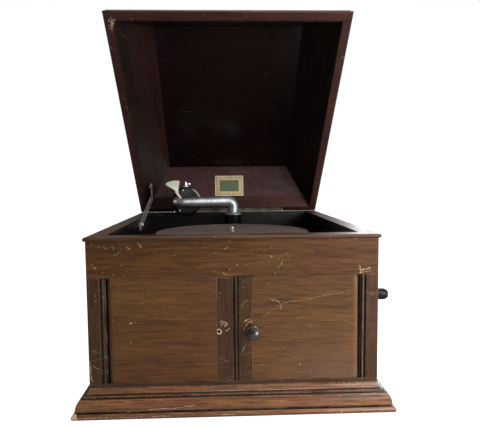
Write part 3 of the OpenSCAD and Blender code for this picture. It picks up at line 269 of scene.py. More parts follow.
# Each of the grain's layers is a noise that is drawn out along the board.
FIGURE_FINENESS, STREAK_FINENESS = (2.4, 44, 44), (22, 330, 330)
FIBRE_FINENESS, PORE_FINENESS = (26, 1300, 1300), (70, 1700, 1700)
grain, grain_in, grain_out = new_group("figured_grain", {"Along X": None},
                                       ("Tone", "Pores", "Height"))
sway = noise(grain, stretched(grain, grain_in["Along X"], (1.6, 5, 5)), 1.0, 1.0)
swayed = vector_of(grain, "ADD", grain_in["Along X"], put(grain, "ShaderNodeCombineXYZ", {
    "Y": times(grain, sway, 0.05), "Z": times(grain, sway, 0.03)}).outputs[0])
figure = noise(grain, stretched(grain, swayed, FIGURE_FINENESS), 1.0, 5.0, 0.6)
streak = noise(grain, stretched(grain, swayed, STREAK_FINENESS), 1.0, 4.0, 0.65)
fibre = noise(grain, stretched(grain, swayed, FIBRE_FINENESS), 1.0, 2.0, 0.6)
pores = ramp(grain, noise(grain, stretched(grain, swayed, PORE_FINENESS), 1.0, 1.0), 0.62, 0.72)
tone = plus(grain, times(grain, ramp(grain, figure, 0.3, 0.7), 0.28),
            plus(grain, times(grain, ramp(grain, streak, 0.3, 0.7), 0.46),
                 times(grain, fibre, 0.26)))
grain.links.new(tone, grain_out["Tone"])
grain.links.new(pores, grain_out["Pores"])
grain.links.new(value_of(grain, "SUBTRACT", times(grain, fibre, 0.5), pores), grain_out["Height"])

# An edge is rubbed where a rounded normal leaves the true one, and only in patches.
rubbed, rubbed_in, rubbed_out = new_group("rubbed_edges", {"Width": 0.0016, "Object": None},
                                          ("Mask",))
soft_normal = rounded_normal(rubbed, rubbed_in["Width"])
true_normal = put(rubbed, "ShaderNodeNewGeometry").outputs["Normal"]
edge = ramp(rubbed, vector_of(rubbed, "DOT_PRODUCT", soft_normal, true_normal), 0.99, 0.86)
patchy = ramp(rubbed, noise(rubbed, rubbed_in["Object"], 38, 4.0, 0.7), 0.42, 0.66)
rubbed.links.new(times(rubbed, edge, patchy, True), rubbed_out["Mask"])

chips, chips_in, chips_out = new_group("chips_and_scratches", {"Object": None, "Amount": 0.5},
                                       ("Chips", "Scratches"))
TORN = 0.0045
ragged_at = vector_of(chips, "ADD", chips_in["Object"], vector_of(
    chips, "MULTIPLY", coloured_noise(chips, chips_in["Object"], 420.0), (TORN, TORN, TORN)))
gathered = ramp(chips, noise(chips, chips_in["Object"], 7, 2.0), 0.45, 0.75)
crowding = times(chips, gathered, chips_in["Amount"])


def scattered(fineness, rim, core, crowd, fade):
    """Ragged specks, one in a few of the cells, more of them where they gather."""
    cells = put(chips, "ShaderNodeTexVoronoi", {"Vector": ragged_at, "Scale": fineness,
                                                "Randomness": 1.0}).outputs
    picked = put(chips, "ShaderNodeSeparateColor", {"Color": cells["Color"]}).outputs["Red"]
    few = ramp(chips, plus(chips, picked, times(chips, crowding, crowd)), 1.0, fade)
    return times(chips, ramp(chips, cells["Distance"], rim, core), few, True)


chipped = scattered(120.0, 0.2, 0.15, 0.2, 1.02)
grit = scattered(260.0, 0.26, 0.16, 0.14, 1.01)
chips.links.new(value_of(chips, "MAXIMUM", chipped, grit), chips_out["Chips"])
scratched = None
for turned, seed in (((0, 0.45, 0.45), 0.0), ((0, -0.3, 1.9), 3.0), ((0, 1.2, -0.6), 7.0)):
    bent = sliced_noise(chips, stretched(chips, chips_in["Object"], (5, 52, 52), turned), seed,
                        Scale=1.0, Detail=1.0)
    ridge = ramp(chips, off_middle(chips, bent), 0.004, 0.001)
    here = ramp(chips, sliced_noise(chips, chips_in["Object"], seed + 1, Scale=9.0), 0.58, 0.66)
    line = times(chips, ridge, here)
    scratched = value_of(chips, "MAXIMUM", scratched, line) if scratched else line
chips.links.new(times(chips, scratched, chips_in["Amount"], True), chips_out["Scratches"])

bare, bare_in, bare_out = new_group("bare_spot", {
    "Object": None, "Centre": None, "Radius": 0.005, "Ragged": 0.4}, ("Mask",))
away = vector_of(bare, "DISTANCE", bare_in["Object"], bare_in["Centre"])
uneven = value_of(bare, "SUBTRACT", noise(bare, bare_in["Object"], 330, 3.0, 0.7), 0.5)
torn = plus(bare, value_of(bare, "DIVIDE", away, bare_in["Radius"]),
            times(bare, uneven, bare_in["Ragged"]))
bare.links.new(ramp(bare, torn, 1.0, 0.86), bare_out["Mask"])

stroke, stroke_in, stroke_out = new_group("scratch_stroke", {
    "Object": None, "Start": None, "End": None, "Width": 0.0005}, ("Mask",))
shaken = vector_of(stroke, "SUBTRACT", coloured_noise(stroke, stroke_in["Object"], 110.0),
                   (0.5, 0.5, 0.5))
wandering = put(stroke, "ShaderNodeVectorMath", {0: shaken, 1: (0.005, 0.0, 0.005),
                                                 2: stroke_in["Object"]},
                operation="MULTIPLY_ADD").outputs[0]
from_start = vector_of(stroke, "SUBTRACT", wandering, stroke_in["Start"])
whole = vector_of(stroke, "SUBTRACT", stroke_in["End"], stroke_in["Start"])
gone = value_of(stroke, "DIVIDE", vector_of(stroke, "DOT_PRODUCT", from_start, whole),
                vector_of(stroke, "DOT_PRODUCT", whole, whole), True)
foot = put(stroke, "ShaderNodeVectorMath", {0: whole, "Scale": gone},
           operation="SCALE").outputs[0]
beside = vector_of(stroke, "DISTANCE", from_start, foot)
broken = ramp(stroke, noise(stroke, stroke_in["Object"], 300, 2.0), 0.4, 0.55, 0.25, 1.0)
covered = ramp(stroke, value_of(stroke, "DIVIDE", beside, stroke_in["Width"]), 1.0, 0.5)
stroke.links.new(times(stroke, covered, broken, True), stroke_out["Mask"])

boxed, boxed_in, boxed_out = new_group("within_a_box", {
    "Object": None, "Low": None, "High": None}, ("Mask",))
depths = put(boxed, "ShaderNodeSeparateXYZ", {"Vector": vector_of(
    boxed, "MINIMUM", vector_of(boxed, "SUBTRACT", boxed_in["Object"], boxed_in["Low"]),
    vector_of(boxed, "SUBTRACT", boxed_in["High"], boxed_in["Object"]))}).outputs
least = value_of(boxed, "MINIMUM", depths["X"],
                 value_of(boxed, "MINIMUM", depths["Y"], depths["Z"]))
boxed.links.new(ramp(boxed, least, 0.0, 0.0004), boxed_out["Mask"])

BARE_WOOD, PALE_SCRATCH = linear(204, 172, 132), linear(214, 190, 158)
# The second tone here is painted shade, for corners and creases.
# The third tone here is a painted reflection of the floor, low on the doors.
STAIN, CORNER_SHADE, FLOOR_REFLECTION = linear(13, 8, 9), linear(16, 9, 7), linear(122, 92, 84)
REDDER, GREENER = (1.06, 0.97, 0.95, 1), (0.95, 1.03, 0.86, 1)
COAT_ROUGHNESS = 0.16
PORES_SHOW, GROOVE_SHOWS, CORNER_SHADE_SHOWS = 0.45, 0.9, 0.7
CHIPS_SHOW, SCRATCHES_SHOW, RUBBING_SHOWS = 0.62, 0.5, 0.75
FLOOR_REFLECTION_SHOWS, FLOOR_REFLECTION_FOOT, FLOOR_REFLECTION_REACH = 0.42, 0.04, 0.12
CORNER_SHADE_REACH, RUBBED_WIDTH, GROOVE_BLUR = 0.0045, 0.0015, 0.0003
GLOSSIER, DULLER, WORN_DULLER, OUTSIDE_DULLER = 0.06, 0.08, 0.3, 0.34
GRAIN_SHARE, WOOD_RELIEF, WOOD_DEPTH = 0.3, 0.22, 0.0005


def polished_wood(name, turned, dark, light, gloss=0.34, wear=0.6, edge_tone=BARE_WOOD,
                  spots=(), coat=0.1, strokes=(), stained=None, stain=STAIN,
                  shut=((0, 0, 0), 0.0), dark_lines=(), floor_reflection=None, outside=None, shine=0.36,
                  rounding=0.0009):
    """French polished wood. turned brings the board's grain onto X. spots are bare places,
    strokes are single scratches, and inside the box stained the wood is nearly black. On a
    moving piece that box is told with the piece shut, which shut, a place and a turn, brings
    it to. dark_lines are the heights between which dirt fills a groove. The argument after
    them is the x from which, and the height below which, a paler, greyer tone is painted
    that grows towards the bottom: a painted reflection of the floor. outside is a point
    within a hollow piece and the two tones of the faces that look away from it."""
    made, tree, bsdf = new_material(name)
    at = put(tree, "ShaderNodeTexCoord").outputs["Object"]
    across, _, height = put(tree, "ShaderNodeSeparateXYZ", {"Vector": at}).outputs
    figured = place(tree, grain, {"Along X": stretched(tree, at, (1, 1, 1), turned)})
    tone = ramp(tree, figured["Tone"], 0.22, 0.78)
    colour = mixed(tree, tone, dark, light)
    if outside:
        within, outer_dark, outer_light = outside
        facing = put(tree, "ShaderNodeTexCoord").outputs["Normal"]
        outer = ramp(tree, vector_of(tree, "DOT_PRODUCT", facing, vector_of(
            tree, "SUBTRACT", at, within)), 0.0, 0.004)
        colour = mixed(tree, outer, colour, mixed(tree, tone, outer_dark, outer_light))

    cloud = ramp(tree, noise(tree, at, 5.5, 3.0), 0.3, 0.7, 0.82, 1.12)
    colour = mixed(tree, 1.0, colour, put(tree, "ShaderNodeCombineColor", {
        "Red": cloud, "Green": cloud, "Blue": cloud}).outputs[0], "MULTIPLY")
    hue = ramp(tree, noise(tree, at, 6.5, 3.0, 0.6), 0.38, 0.62)
    colour = mixed(tree, 1.0, colour, mixed(tree, hue, REDDER, GREENER), "MULTIPLY")
    colour = mixed(tree, times(tree, figured["Pores"], PORES_SHOW), colour, darker(dark))

    for low, high in dark_lines:
        groove = times(tree, ramp(tree, height, low - GROOVE_BLUR, low),
                       ramp(tree, height, high + GROOVE_BLUR, high))
        colour = mixed(tree, times(tree, groove, GROOVE_SHOWS), colour, STAIN)
    if stained:
        low, high = stained
        moved, tipped = shut
        shut_here = put(tree, "ShaderNodeMapping", {
            "Vector": at, "Location": moved, "Rotation": (tipped, 0, 0)}).outputs[0]
        inside = place(tree, boxed, {"Object": shut_here, "Low": low, "High": high})["Mask"]
        colour = mixed(tree, inside, colour, stain)
    # Painted reflection: beyond the corner the lower part turns a paler, greyer tone, the floor
    # as the polish would reflect it.
    if floor_reflection:
        corner, top = floor_reflection
        floor_seen = times(tree, ramp(tree, height, top, FLOOR_REFLECTION_FOOT),
                        ramp(tree, across, corner, corner + FLOOR_REFLECTION_REACH))
        colour = mixed(tree, times(tree, floor_seen, FLOOR_REFLECTION_SHOWS), colour, FLOOR_REFLECTION)

    # Painted shade: the colour darkens to a near-black brown in corners and creases, where shade
    # falls.
    shaded_corners = ramp(tree, openness(tree, CORNER_SHADE_REACH), 0.85, 0.3, 0.0, CORNER_SHADE_SHOWS)
    colour = mixed(tree, shaded_corners, colour, CORNER_SHADE)
    marks = place(tree, chips, {"Object": at, "Amount": wear})
    rub = place(tree, rubbed, {"Object": at, "Width": RUBBED_WIDTH})["Mask"]
    colour = mixed(tree, times(tree, rub, RUBBING_SHOWS * wear), colour, edge_tone)
    hurt = value_of(tree, "MAXIMUM", times(tree, marks["Chips"], CHIPS_SHOW),
                    times(tree, marks["Scratches"], SCRATCHES_SHOW))
    for centre, radius, ragged in spots:
        spot = place(tree, bare, {"Object": at, "Centre": centre, "Radius": radius,
                                  "Ragged": ragged})["Mask"]
        hurt = value_of(tree, "MAXIMUM", hurt, spot)
    colour = mixed(tree, hurt, colour, BARE_WOOD)
    for start, end, width, strength in strokes:
        line = place(tree, stroke, {"Object": at, "Start": start, "End": end,
                                    "Width": width})["Mask"]
        colour = mixed(tree, times(tree, line, strength), colour, PALE_SCRATCH)
    tree.links.new(colour, bsdf.inputs["Base Color"])

    uneven_gloss = ramp(tree, noise(tree, at, 60, 4.0, 0.6), 0.3, 0.7, gloss - GLOSSIER,
                        gloss + DULLER)
    worn = value_of(tree, "MAXIMUM", hurt, rub)
    dull = plus(tree, uneven_gloss, times(tree, worn, WORN_DULLER), True)
    if outside:
        dull = plus(tree, dull, times(tree, outer, OUTSIDE_DULLER), True)
    tree.links.new(dull, bsdf.inputs["Roughness"])
    surface = value_of(tree, "SUBTRACT", times(tree, figured["Height"], GRAIN_SHARE), hurt)
    bump = relief(tree, surface, WOOD_RELIEF, WOOD_DEPTH, Normal=rounded_normal(tree, rounding))
    tree.links.new(bump.outputs[0], bsdf.inputs["Normal"])
    bsdf.inputs["Specular IOR Level"].default_value = shine
    bsdf.inputs["Coat Weight"].default_value = coat
    bsdf.inputs["Coat Roughness"].default_value = COAT_ROUGHNESS
    return made


ALONG_X, ALONG_Y, UPRIGHT = (0, 0, 0), (0, 0, math.pi / 2), (0, math.pi / 2, 0)
MAHOGANY = linear(54, 30, 14), linear(110, 71, 38)
WELL = ((-0.1936, -0.2307, 0.13), (0.1936, 0.2345, 0.2638))
frieze_low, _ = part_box("front_frieze")


def on_front(across, up):
    return Vector((across, frieze_low.y, up))


def front_strokes(*rows):
    """Scratches on the front: where each starts and ends, across and up, width, strength."""
    return [(on_front(a, b), on_front(c, d), width, strength)
            for a, b, c, d, width, strength in rows]


carcase_wood = polished_wood(
    "carcase_mahogany", ALONG_X, *MAHOGANY, wear=0.65, stained=WELL, strokes=front_strokes(
        (0.1872, 0.2160, 0.1882, 0.2055, 0.0010, 1.0),
        (0.1885, 0.2107, 0.2022, 0.2131, 0.0009, 0.95),
        (0.1890, 0.2070, 0.2023, 0.2083, 0.0008, 0.9),
        (0.0600, 0.2050, 0.0618, 0.2085, 0.0007, 0.6),
        (0.0650, 0.2140, 0.0672, 0.2172, 0.0006, 0.5),
        (-0.0290, 0.2110, -0.0210, 0.2085, 0.0005, 0.5),
        (-0.0135, 0.2440, -0.0085, 0.2475, 0.0006, 0.6),
        (0.0696, 0.2194, 0.0741, 0.2283, 0.0007, 0.55),
        (-0.1387, 0.2551, -0.1345, 0.2477, 0.0008, 0.8),
        (-0.1892, 0.2500, -0.1850, 0.2470, 0.0009, 0.75),
        (-0.1762, 0.2513, -0.1735, 0.2469, 0.0009, 0.7),
        (-0.1547, 0.2495, -0.1519, 0.2465, 0.0008, 0.7),
        (-0.1738, 0.2366, -0.1650, 0.2423, 0.0006, 0.5)))
side_wood = polished_wood("side_mahogany", ALONG_Y, *MAHOGANY, stained=WELL)
# The bottom rail is the carcase's mahogany in darker tones: painted shade, for the shade it sits
# in under the doors.
shaded_rail_wood = polished_wood("rail_mahogany_shaded", ALONG_X, linear(44, 25, 14), linear(90, 57, 35),
                          wear=0.6, stained=WELL)
coat_with(carcase_wood, "front_frieze", "back_panel")
coat_with(shaded_rail_wood, "bottom_rail")
coat_with(side_wood, "side_panel_left", "side_panel_right", "base_board")

# The plinth moulding, mitred round three sides and glued on. The same wood, but it has
# been kicked and cleaned more, so it is redder, its grooves hold dirt and its fillets are
# rubbed pale.
PLINTH_GROOVES = ((0.0088, 0.0110), (0.0270, 0.0282), (0.0305, 0.0316))
PLINTH_CORNER_CHIP = ((-0.236, -0.273, 0.004), 0.008, 1.4)
plinth_wood = polished_wood(
    "plinth_mahogany", ALONG_X, linear(84, 48, 28), linear(160, 111, 76), gloss=0.2, wear=0.75,
    edge_tone=linear(186, 146, 112), spots=[PLINTH_CORNER_CHIP], coat=0.45, shine=0.5,
    rounding=0.0026, dark_lines=PLINTH_GROOVES, strokes=(
        ((-0.1272, -0.2704, 0.0125), (-0.0885, -0.2703, 0.0145), 0.0008, 0.6),
        ((-0.0885, -0.2703, 0.0145), (-0.0602, -0.2698, 0.0170), 0.0007, 0.55),
        ((-0.0200, -0.2750, 0.0050), (-0.0030, -0.2750, 0.0046), 0.0008, 0.6),
        ((-0.2290, -0.2750, 0.0046), (-0.1850, -0.2750, 0.0050), 0.0008, 0.6),
        ((-0.1820, -0.2750, 0.0040), (-0.1350, -0.2750, 0.0052), 0.0007, 0.5),
        ((-0.1210, -0.2750, 0.0052), (-0.0950, -0.2750, 0.0046), 0.0007, 0.5)))
coat_with(plinth_wood, "plinth_moulding")

# The uprights beside the doors, each with a bead between two quirks along its edge.
# Straight-grained mahogany, its grain upright and its quirks black with old dirt.
QUIRK_FRONT, QUIRKS_BACK = -0.2521, -0.2
POST_QUIRKS = ((-0.1966, QUIRK_FRONT, 0.0), (0.1966, QUIRKS_BACK, 0.3))
post_wood = polished_wood(
    "post_mahogany", UPRIGHT, linear(42, 24, 13), linear(90, 56, 34), gloss=0.33, wear=0.6,
    stained=POST_QUIRKS, strokes=front_strokes(
        (-0.2135, 0.0794, -0.2128, 0.0551, 0.0010, 0.7),
        (-0.2128, 0.0551, -0.2095, 0.0500, 0.0009, 0.6),
        (-0.1955, 0.2020, -0.1955, 0.0420, 0.0004, 0.35),
        (0.1925, 0.2040, 0.1925, 0.0380, 0.0005, 0.3)))
coat_with(post_wood, "front_posts")

# The doors: a wide board with level grain and a narrow upright board on the meeting
# side, redder and darker. The left one has lost its knob and shows bare wood round the
# hole; round the right one's knob the polish is worn through in small arcs.
# Low on the right door a paler, greyer tone is painted in: a painted reflection of the floor.
door_wood = polished_wood(
    "door_mahogany", ALONG_X, linear(66, 39, 18), linear(116, 77, 40), gloss=0.36, wear=0.45,
    floor_reflection=(0.02, 0.13), strokes=front_strokes(
        (0.0411, 0.1419, 0.0739, 0.1624, 0.0004, 0.3),
        (0.0739, 0.1624, 0.1247, 0.1705, 0.0004, 0.35),
        (0.1247, 0.1705, 0.1935, 0.1828, 0.0004, 0.35),
        (0.0546, 0.1673, 0.0665, 0.1640, 0.0007, 0.6),
        (0.0665, 0.1640, 0.0695, 0.1549, 0.0007, 0.6)))
coat_with(door_wood, "door_panel_left", "door_panel_right")
left_low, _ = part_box("door_stile_left")
hole_at = Vector((-0.0229, left_low.y, 0.121))
knob_low, knob_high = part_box("door_knob")
knob_at = (knob_low + knob_high) / 2
BARE_RING = (tuple(hole_at), 0.0046, 0.5)
SEAM_QUIRKS = ((-0.0005, QUIRK_FRONT, 0.0), (0.0068, QUIRKS_BACK, 0.3))
ARC_WIDTH, ARC_STRENGTH = 0.0008, 0.85
ROUND_THE_HOLE = (
    (3.6, 9.1, 6.2, 14.5), (6.2, 14.5, 9.1, 15.2), (6.2, 10.2, 10.2, 12.7),
    (8.3, 7.3, 12.0, 10.2), (12.0, 10.2, 10.5, 13.8), (12.7, 2.9, 16.3, 5.4),
    (1.8, 13.4, 4.0, 16.3), (10.2, 0.7, 13.4, 2.9))
ROUND_THE_KNOB = (
    (-9.0, 8.1, -6.1, 13.5), (-6.1, 13.5, 1.1, 15.6), (-12.3, 12.5, -8.7, 17.0),
    (-8.7, 17.0, -4.2, 17.5), (-13.0, 1.8, -11.4, 7.3), (-2.0, 12.0, 5.0, 12.6))
worn_arcs = front_strokes(
    (0.0101, 0.1591, 0.0191, 0.1680, 0.0006, 0.5),
    (0.0170, 0.0999, 0.0109, 0.0878, 0.0006, 0.5),
    (0.0055, 0.1682, 0.0055, 0.1230, 0.0004, 0.4))
for centre, marks in ((hole_at, ROUND_THE_HOLE), (knob_at, ROUND_THE_KNOB)):
    for a, b, c, d in marks:
        worn_arcs.append((on_front(centre.x + a / 1000, centre.z + b / 1000),
                          on_front(centre.x + c / 1000, centre.z + d / 1000),
                          ARC_WIDTH, ARC_STRENGTH))
stile_wood = polished_wood(
    "door_stile_mahogany", UPRIGHT, linear(50, 28, 17), linear(86, 54, 34), gloss=0.32, wear=0.6,
    spots=[BARE_RING], stained=SEAM_QUIRKS, strokes=worn_arcs)
coat_with(stile_wood, "door_stile_left", "door_stile_right")

# The door pivots are brass pins in the rails. The knob is turned hardwood, polished
# nearly black, on a thin nickel ring.
tarnish, tarnish_in, tarnish_out = new_group("tarnish", {"Object": None, "Scale": 60.0},
                                             ("Patches", "Specks", "Grime"))
patch = noise(tarnish, tarnish_in["Object"], tarnish_in["Scale"], 5.0, 0.65)
tarnish.links.new(ramp(tarnish, patch, 0.42, 0.66), tarnish_out["Patches"])
speck = noise(tarnish, tarnish_in["Object"], 900, 2.0)
tarnish.links.new(ramp(tarnish, speck, 0.64, 0.74), tarnish_out["Specks"])
CREVICE_REACH = 0.006
tarnish.links.new(ramp(tarnish, openness(tarnish, CREVICE_REACH), 0.8, 0.35),
                  tarnish_out["Grime"])
METAL_GRIME = linear(28, 22, 18)
SPECKS_SHOW, GRIME_DULLER = 0.6, 0.3
METAL_ROUNDING, SPECK_RELIEF, SPECK_DEPTH = 0.0004, 0.12, 0.0002


def old_metal(name, bright, dull, rough, metallic=1.0, scale=60.0, grime=0.6):
    """Plated or bare metal with dull patches, pin-point specks and dirt in its corners.
    rough is the roughness of a bright and of a dull place."""
    made, tree, bsdf = new_material(name)
    at = put(tree, "ShaderNodeTexCoord").outputs["Object"]
    aged = place(tree, tarnish, {"Object": at, "Scale": scale})
    colour = mixed(tree, aged["Patches"], bright, dull)
    colour = mixed(tree, times(tree, aged["Specks"], SPECKS_SHOW), colour, darker(dull))
    colour = mixed(tree, times(tree, aged["Grime"], grime), colour, METAL_GRIME)
    tree.links.new(colour, bsdf.inputs["Base Color"])
    tree.links.new(plus(tree, ramp(tree, aged["Patches"], 0, 1, *rough),
                        times(tree, aged["Grime"], GRIME_DULLER), True), bsdf.inputs["Roughness"])
    bump = relief(tree, aged["Specks"], SPECK_RELIEF, SPECK_DEPTH,
                  Normal=rounded_normal(tree, METAL_ROUNDING))
    bump.invert = True
    tree.links.new(bump.outputs[0], bsdf.inputs["Normal"])
    bsdf.inputs["Metallic"].default_value = metallic
    return made


old_brass = old_metal("old_brass", linear(196, 160, 96), linear(120, 90, 52), (0.28, 0.5))
coat_with(old_brass, "door_pivots")
nickel = old_metal("worn_nickel", linear(224, 222, 216), linear(160, 156, 148), (0.18, 0.36))
coat_with(nickel, "knob_ring")
knob_wood = polished_wood("knob_wood", ALONG_Y, linear(18, 13, 12), linear(62, 50, 44),
                          gloss=0.16, wear=0.5, edge_tone=linear(150, 130, 112), coat=1.0,
                          shine=0.6)
coat_with(knob_wood, "door_knob")

# The rim that the lid shuts on and the lid's own frame: rounded nosings, rubbed to a
# golden brown line on the outside. Inside, the lid is stained almost black and shines.
RIM_INSIDE = ((-0.1936, -0.2307, 0.13), (0.1936, 0.2307, 0.2638))
rim_wood = polished_wood("rim_mahogany", ALONG_X, linear(46, 26, 16), linear(106, 70, 44),
                         gloss=0.34, wear=1.0, edge_tone=linear(178, 142, 104),
                         stained=RIM_INSIDE)
coat_with(rim_wood, "rim_moulding")
LID_TILT = math.radians(46.8)
HINGE_AXIS = Vector((0, 0.2515, 0.2646))
frame_low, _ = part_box("lid_frame")


def on_lid_edge(across, back):
    """A place on the face that the lid shuts with, in mm from its left front corner."""
    open_by = Matrix.Rotation(-LID_TILT, 3, "X")
    reach = (frame_low.y - HINGE_AXIS.y) / math.cos(LID_TILT)
    return HINGE_AXIS + open_by @ Vector((frame_low.x + across / 1000, reach + back / 1000, 0))


LID_SHUT = (HINGE_AXIS - Matrix.Rotation(LID_TILT, 3, "X") @ HINGE_AXIS, LID_TILT)
LID_HOLLOW = ((-0.2031, -0.2406, 0.2), (0.2031, 0.2200, 0.5))
CORNER_SCRATCHES = (
    (8.3, 30.0, 20.0, 12.5), (9.0, 13.0, 18.9, 23.0), (11.8, 33.0, 15.9, 11.2),
    (12.2, 18.5, 21.4, 20.2), (7.4, 24.0, 17.7, 18.6), (15.0, 8.0, 10.0, 16.0))
lid_frame_wood = polished_wood(
    "lid_frame_mahogany", ALONG_X, linear(38, 18, 16), linear(76, 43, 36), gloss=0.42, wear=0.6,
    edge_tone=linear(132, 108, 74), coat=0.0, shine=0.24, stained=LID_HOLLOW,
    stain=linear(24, 12, 11), shut=LID_SHUT, strokes=[
        (on_lid_edge(a, b), on_lid_edge(c, d), 0.0009, 0.7) for a, b, c, d in CORNER_SCRATCHES])
coat_with(lid_frame_wood, "lid_frame")

# The lid's panels and its top board, thinner boards that are glued into the frame. Their
# inside is stained and polished like the frame's, their outside is brown like the cabinet.
SHUT_LID_MIDDLE = Vector((0, 0, 0.325))
OPEN_LID_MIDDLE = HINGE_AXIS + Matrix.Rotation(-LID_TILT, 3, "X") @ (SHUT_LID_MIDDLE - HINGE_AXIS)
LID_OUTSIDE = (OPEN_LID_MIDDLE, linear(48, 27, 17), linear(98, 62, 40))
PANEL_EDGE = linear(92, 60, 50)
lid_level = polished_wood(
    "lid_panel_level", (LID_TILT, 0, 0), linear(13, 8, 9), linear(30, 17, 18), gloss=0.2,
    wear=0.12, edge_tone=PANEL_EDGE, coat=0.12, outside=LID_OUTSIDE)
lid_sloping = polished_wood(
    "lid_panel_sloping", (LID_TILT, 0, math.pi / 2), linear(20, 10, 9), linear(48, 24, 22),
    gloss=0.44, wear=0.15, edge_tone=PANEL_EDGE, coat=0.0, shine=0.2, outside=LID_OUTSIDE)
slope_wood = polished_wood(
    "lid_back_slope", (LID_TILT, 0, 0), linear(42, 22, 26), linear(86, 54, 56), gloss=0.27,
    wear=0.35, edge_tone=PANEL_EDGE, coat=0.5, shine=0.5, outside=LID_OUTSIDE)
coat_with(lid_level, "lid_front_panel", "lid_top_board")
coat_with(lid_sloping, "lid_side_panels")
coat_with(slope_wood, "lid_back_panel")

# Beside the hinge a strip of thin felt lies along the rim's back edge and closes the slit
# behind the open lid. Its near-black colour is painted shade, the shade that falls there
# under the open lid's back. Its upper edges are worn round.
shade_felt, tree, bsdf = new_material("shade_felt")
nap = noise(tree, put(tree, "ShaderNodeTexCoord").outputs["Object"], 1400, 3.0, 0.7)
tree.links.new(mixed(tree, ramp(tree, nap, 0.35, 0.75), linear(7, 6, 6), linear(34, 29, 28)),
               bsdf.inputs["Base Color"])
tree.links.new(ramp(tree, nap, 0.3, 0.7, 0.88, 1.0), bsdf.inputs["Roughness"])
bsdf.inputs["Specular IOR Level"].default_value = 0.1
SEAT_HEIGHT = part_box("rim_moulding")[1].z
leaf_low, leaf_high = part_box("hinge_leaf_body")
FELT_RISE, FELT_FRONT, FELT_BACK = 0.00045, 0.2450, 0.2523
FELT_FROM_HINGE, FELT_END = 0.001, 0.2128
FELT_STEPS = 24
FELT_SECTION = ((0, 0), (0, 0.6), (0.05, 1), (0.95, 1), (1, 0.6), (1, 0))


def finished(name, shape, finish):
    """Makes the object of that name from a shape, with its finish."""
    mesh = bpy.data.meshes.new(name)
    shape.to_mesh(mesh)
    shape.free()
    mesh.materials.append(finish)
    made = bpy.data.objects.new(name, mesh)
    bpy.context.scene.collection.objects.link(made)
    return made


def join_rings(shape, before, after, closed=True):
    """Joins two rings of corners by a band of faces."""
    corners = len(before)
    for k in range(corners if closed else corners - 1):
        beyond = (k + 1) % corners
        shape.faces.new((before[k], before[beyond], after[beyond], after[k]))


for side, near, far in (("left", leaf_low.x - FELT_FROM_HINGE, -FELT_END),
                        ("right", leaf_high.x + FELT_FROM_HINGE, FELT_END)):
    strip = bmesh.new()
    rings = []
    for step in range(FELT_STEPS + 1):
        across = near + (far - near) * step / FELT_STEPS
        rings.append([strip.verts.new((
            across, FELT_FRONT + into * (FELT_BACK - FELT_FRONT), SEAT_HEIGHT + up * FELT_RISE))
            for into, up in FELT_SECTION])
    for before, after in zip(rings, rings[1:]):
        join_rings(strip, before, after)
    strip.faces.new(rings[0])
    strip.faces.new(list(reversed(rings[-1])))
    bmesh.ops.recalc_face_normals(strip, faces=strip.faces)
    shade_strip = finished(f"shade_strip_{side}", strip, shade_felt)
    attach(shade_strip, "cabinet")

# The piano hinge along the back, dull nickelled brass with its steel pin, and the flat
# slotted stay with its bracket and stud, steel that has lost most of its blacking. Small
# slotted screws, sunk in the leaves, hold the hinge.
hinge_brass = old_metal("hinge_brass", linear(176, 170, 160), linear(84, 76, 66), (0.4, 0.6),
                        metallic=0.6, scale=22)
coat_with(hinge_brass, "hinge_leaf_body", "hinge_leaf_lid")
plain_steel = old_metal("plain_steel", linear(196, 194, 190), linear(120, 116, 110), (0.26, 0.45))
coat_with(plain_steel, "hinge_pin")
bright_nickel = old_metal("bright_nickel", linear(240, 240, 236), linear(190, 188, 182),
                          (0.2, 0.34), metallic=0.85, scale=80, grime=0.3)
stay_steel = old_metal("worn_black_steel", linear(190, 188, 182), linear(96, 90, 84),
                       (0.3, 0.5), metallic=0.25, scale=110, grime=0.8)
coat_with(stay_steel, "lid_stay", "stay_bracket")
coat_with(bright_nickel, "stay_stud")

HEAD_CORNERS = 24
DOME = ((1.0, 0.3), (0.97, 0.62), (0.75, 0.88), (0.4, 1.0))
SLOT_FLOOR, SLOT_HALF_WIDTH = 0.32, 0.16


def turned_rings(shape, rings, gap=0.0, side=1):
    """Joins rings of (radius, height). With a gap they are half rings beside a slot."""
    loops, steps = [], HEAD_CORNERS - 1
    for radius, height in rings:
        start = math.asin(min(1.0, gap / radius)) if gap else 0.0
        sweep = math.pi - 2 * start if gap else 2 * math.pi * steps / HEAD_CORNERS
        loops.append([])
        for k in range(HEAD_CORNERS):
            angle = start + sweep * k / steps
            loops[-1].append(shape.verts.new((
                side * radius * math.cos(angle), side * radius * math.sin(angle), height)))
    for lower, upper in zip(loops, loops[1:]):
        join_rings(shape, lower, upper, closed=not gap)
    shape.faces.new(loops[-1])
    shape.faces.new(list(reversed(loops[0])))
    if gap:
        shape.faces.new([loop[-1] for loop in loops] + [loop[0] for loop in reversed(loops)])


def small_head(name, at, facing, radius, rise, body, finish, slot_turn=None):
    """A small domed pin that stands on a surface, or with slot_turn a slotted screw head."""
    dome = [(reach * radius, up * rise) for reach, up in DOME]
    shape = bmesh.new()
    if slot_turn is None:
        turned_rings(shape, [(radius, 0.0)] + dome)
    else:
        turned_rings(shape, [(radius, 0.0), (radius, SLOT_FLOOR * rise)])
        for side in (-1, 1):
            turned_rings(shape, dome, SLOT_HALF_WIDTH * radius, side)
    bmesh.ops.recalc_face_normals(shape, faces=shape.faces)
    head = finished(name, shape, finish)
    stand = Vector(facing).to_track_quat("Z", "Y").to_matrix().to_4x4()
    spin = Matrix.Rotation(slot_turn or 0.0, 4, "Z")
    head.matrix_world = Matrix.Translation(at) @ stand @ spin
    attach(head, body)


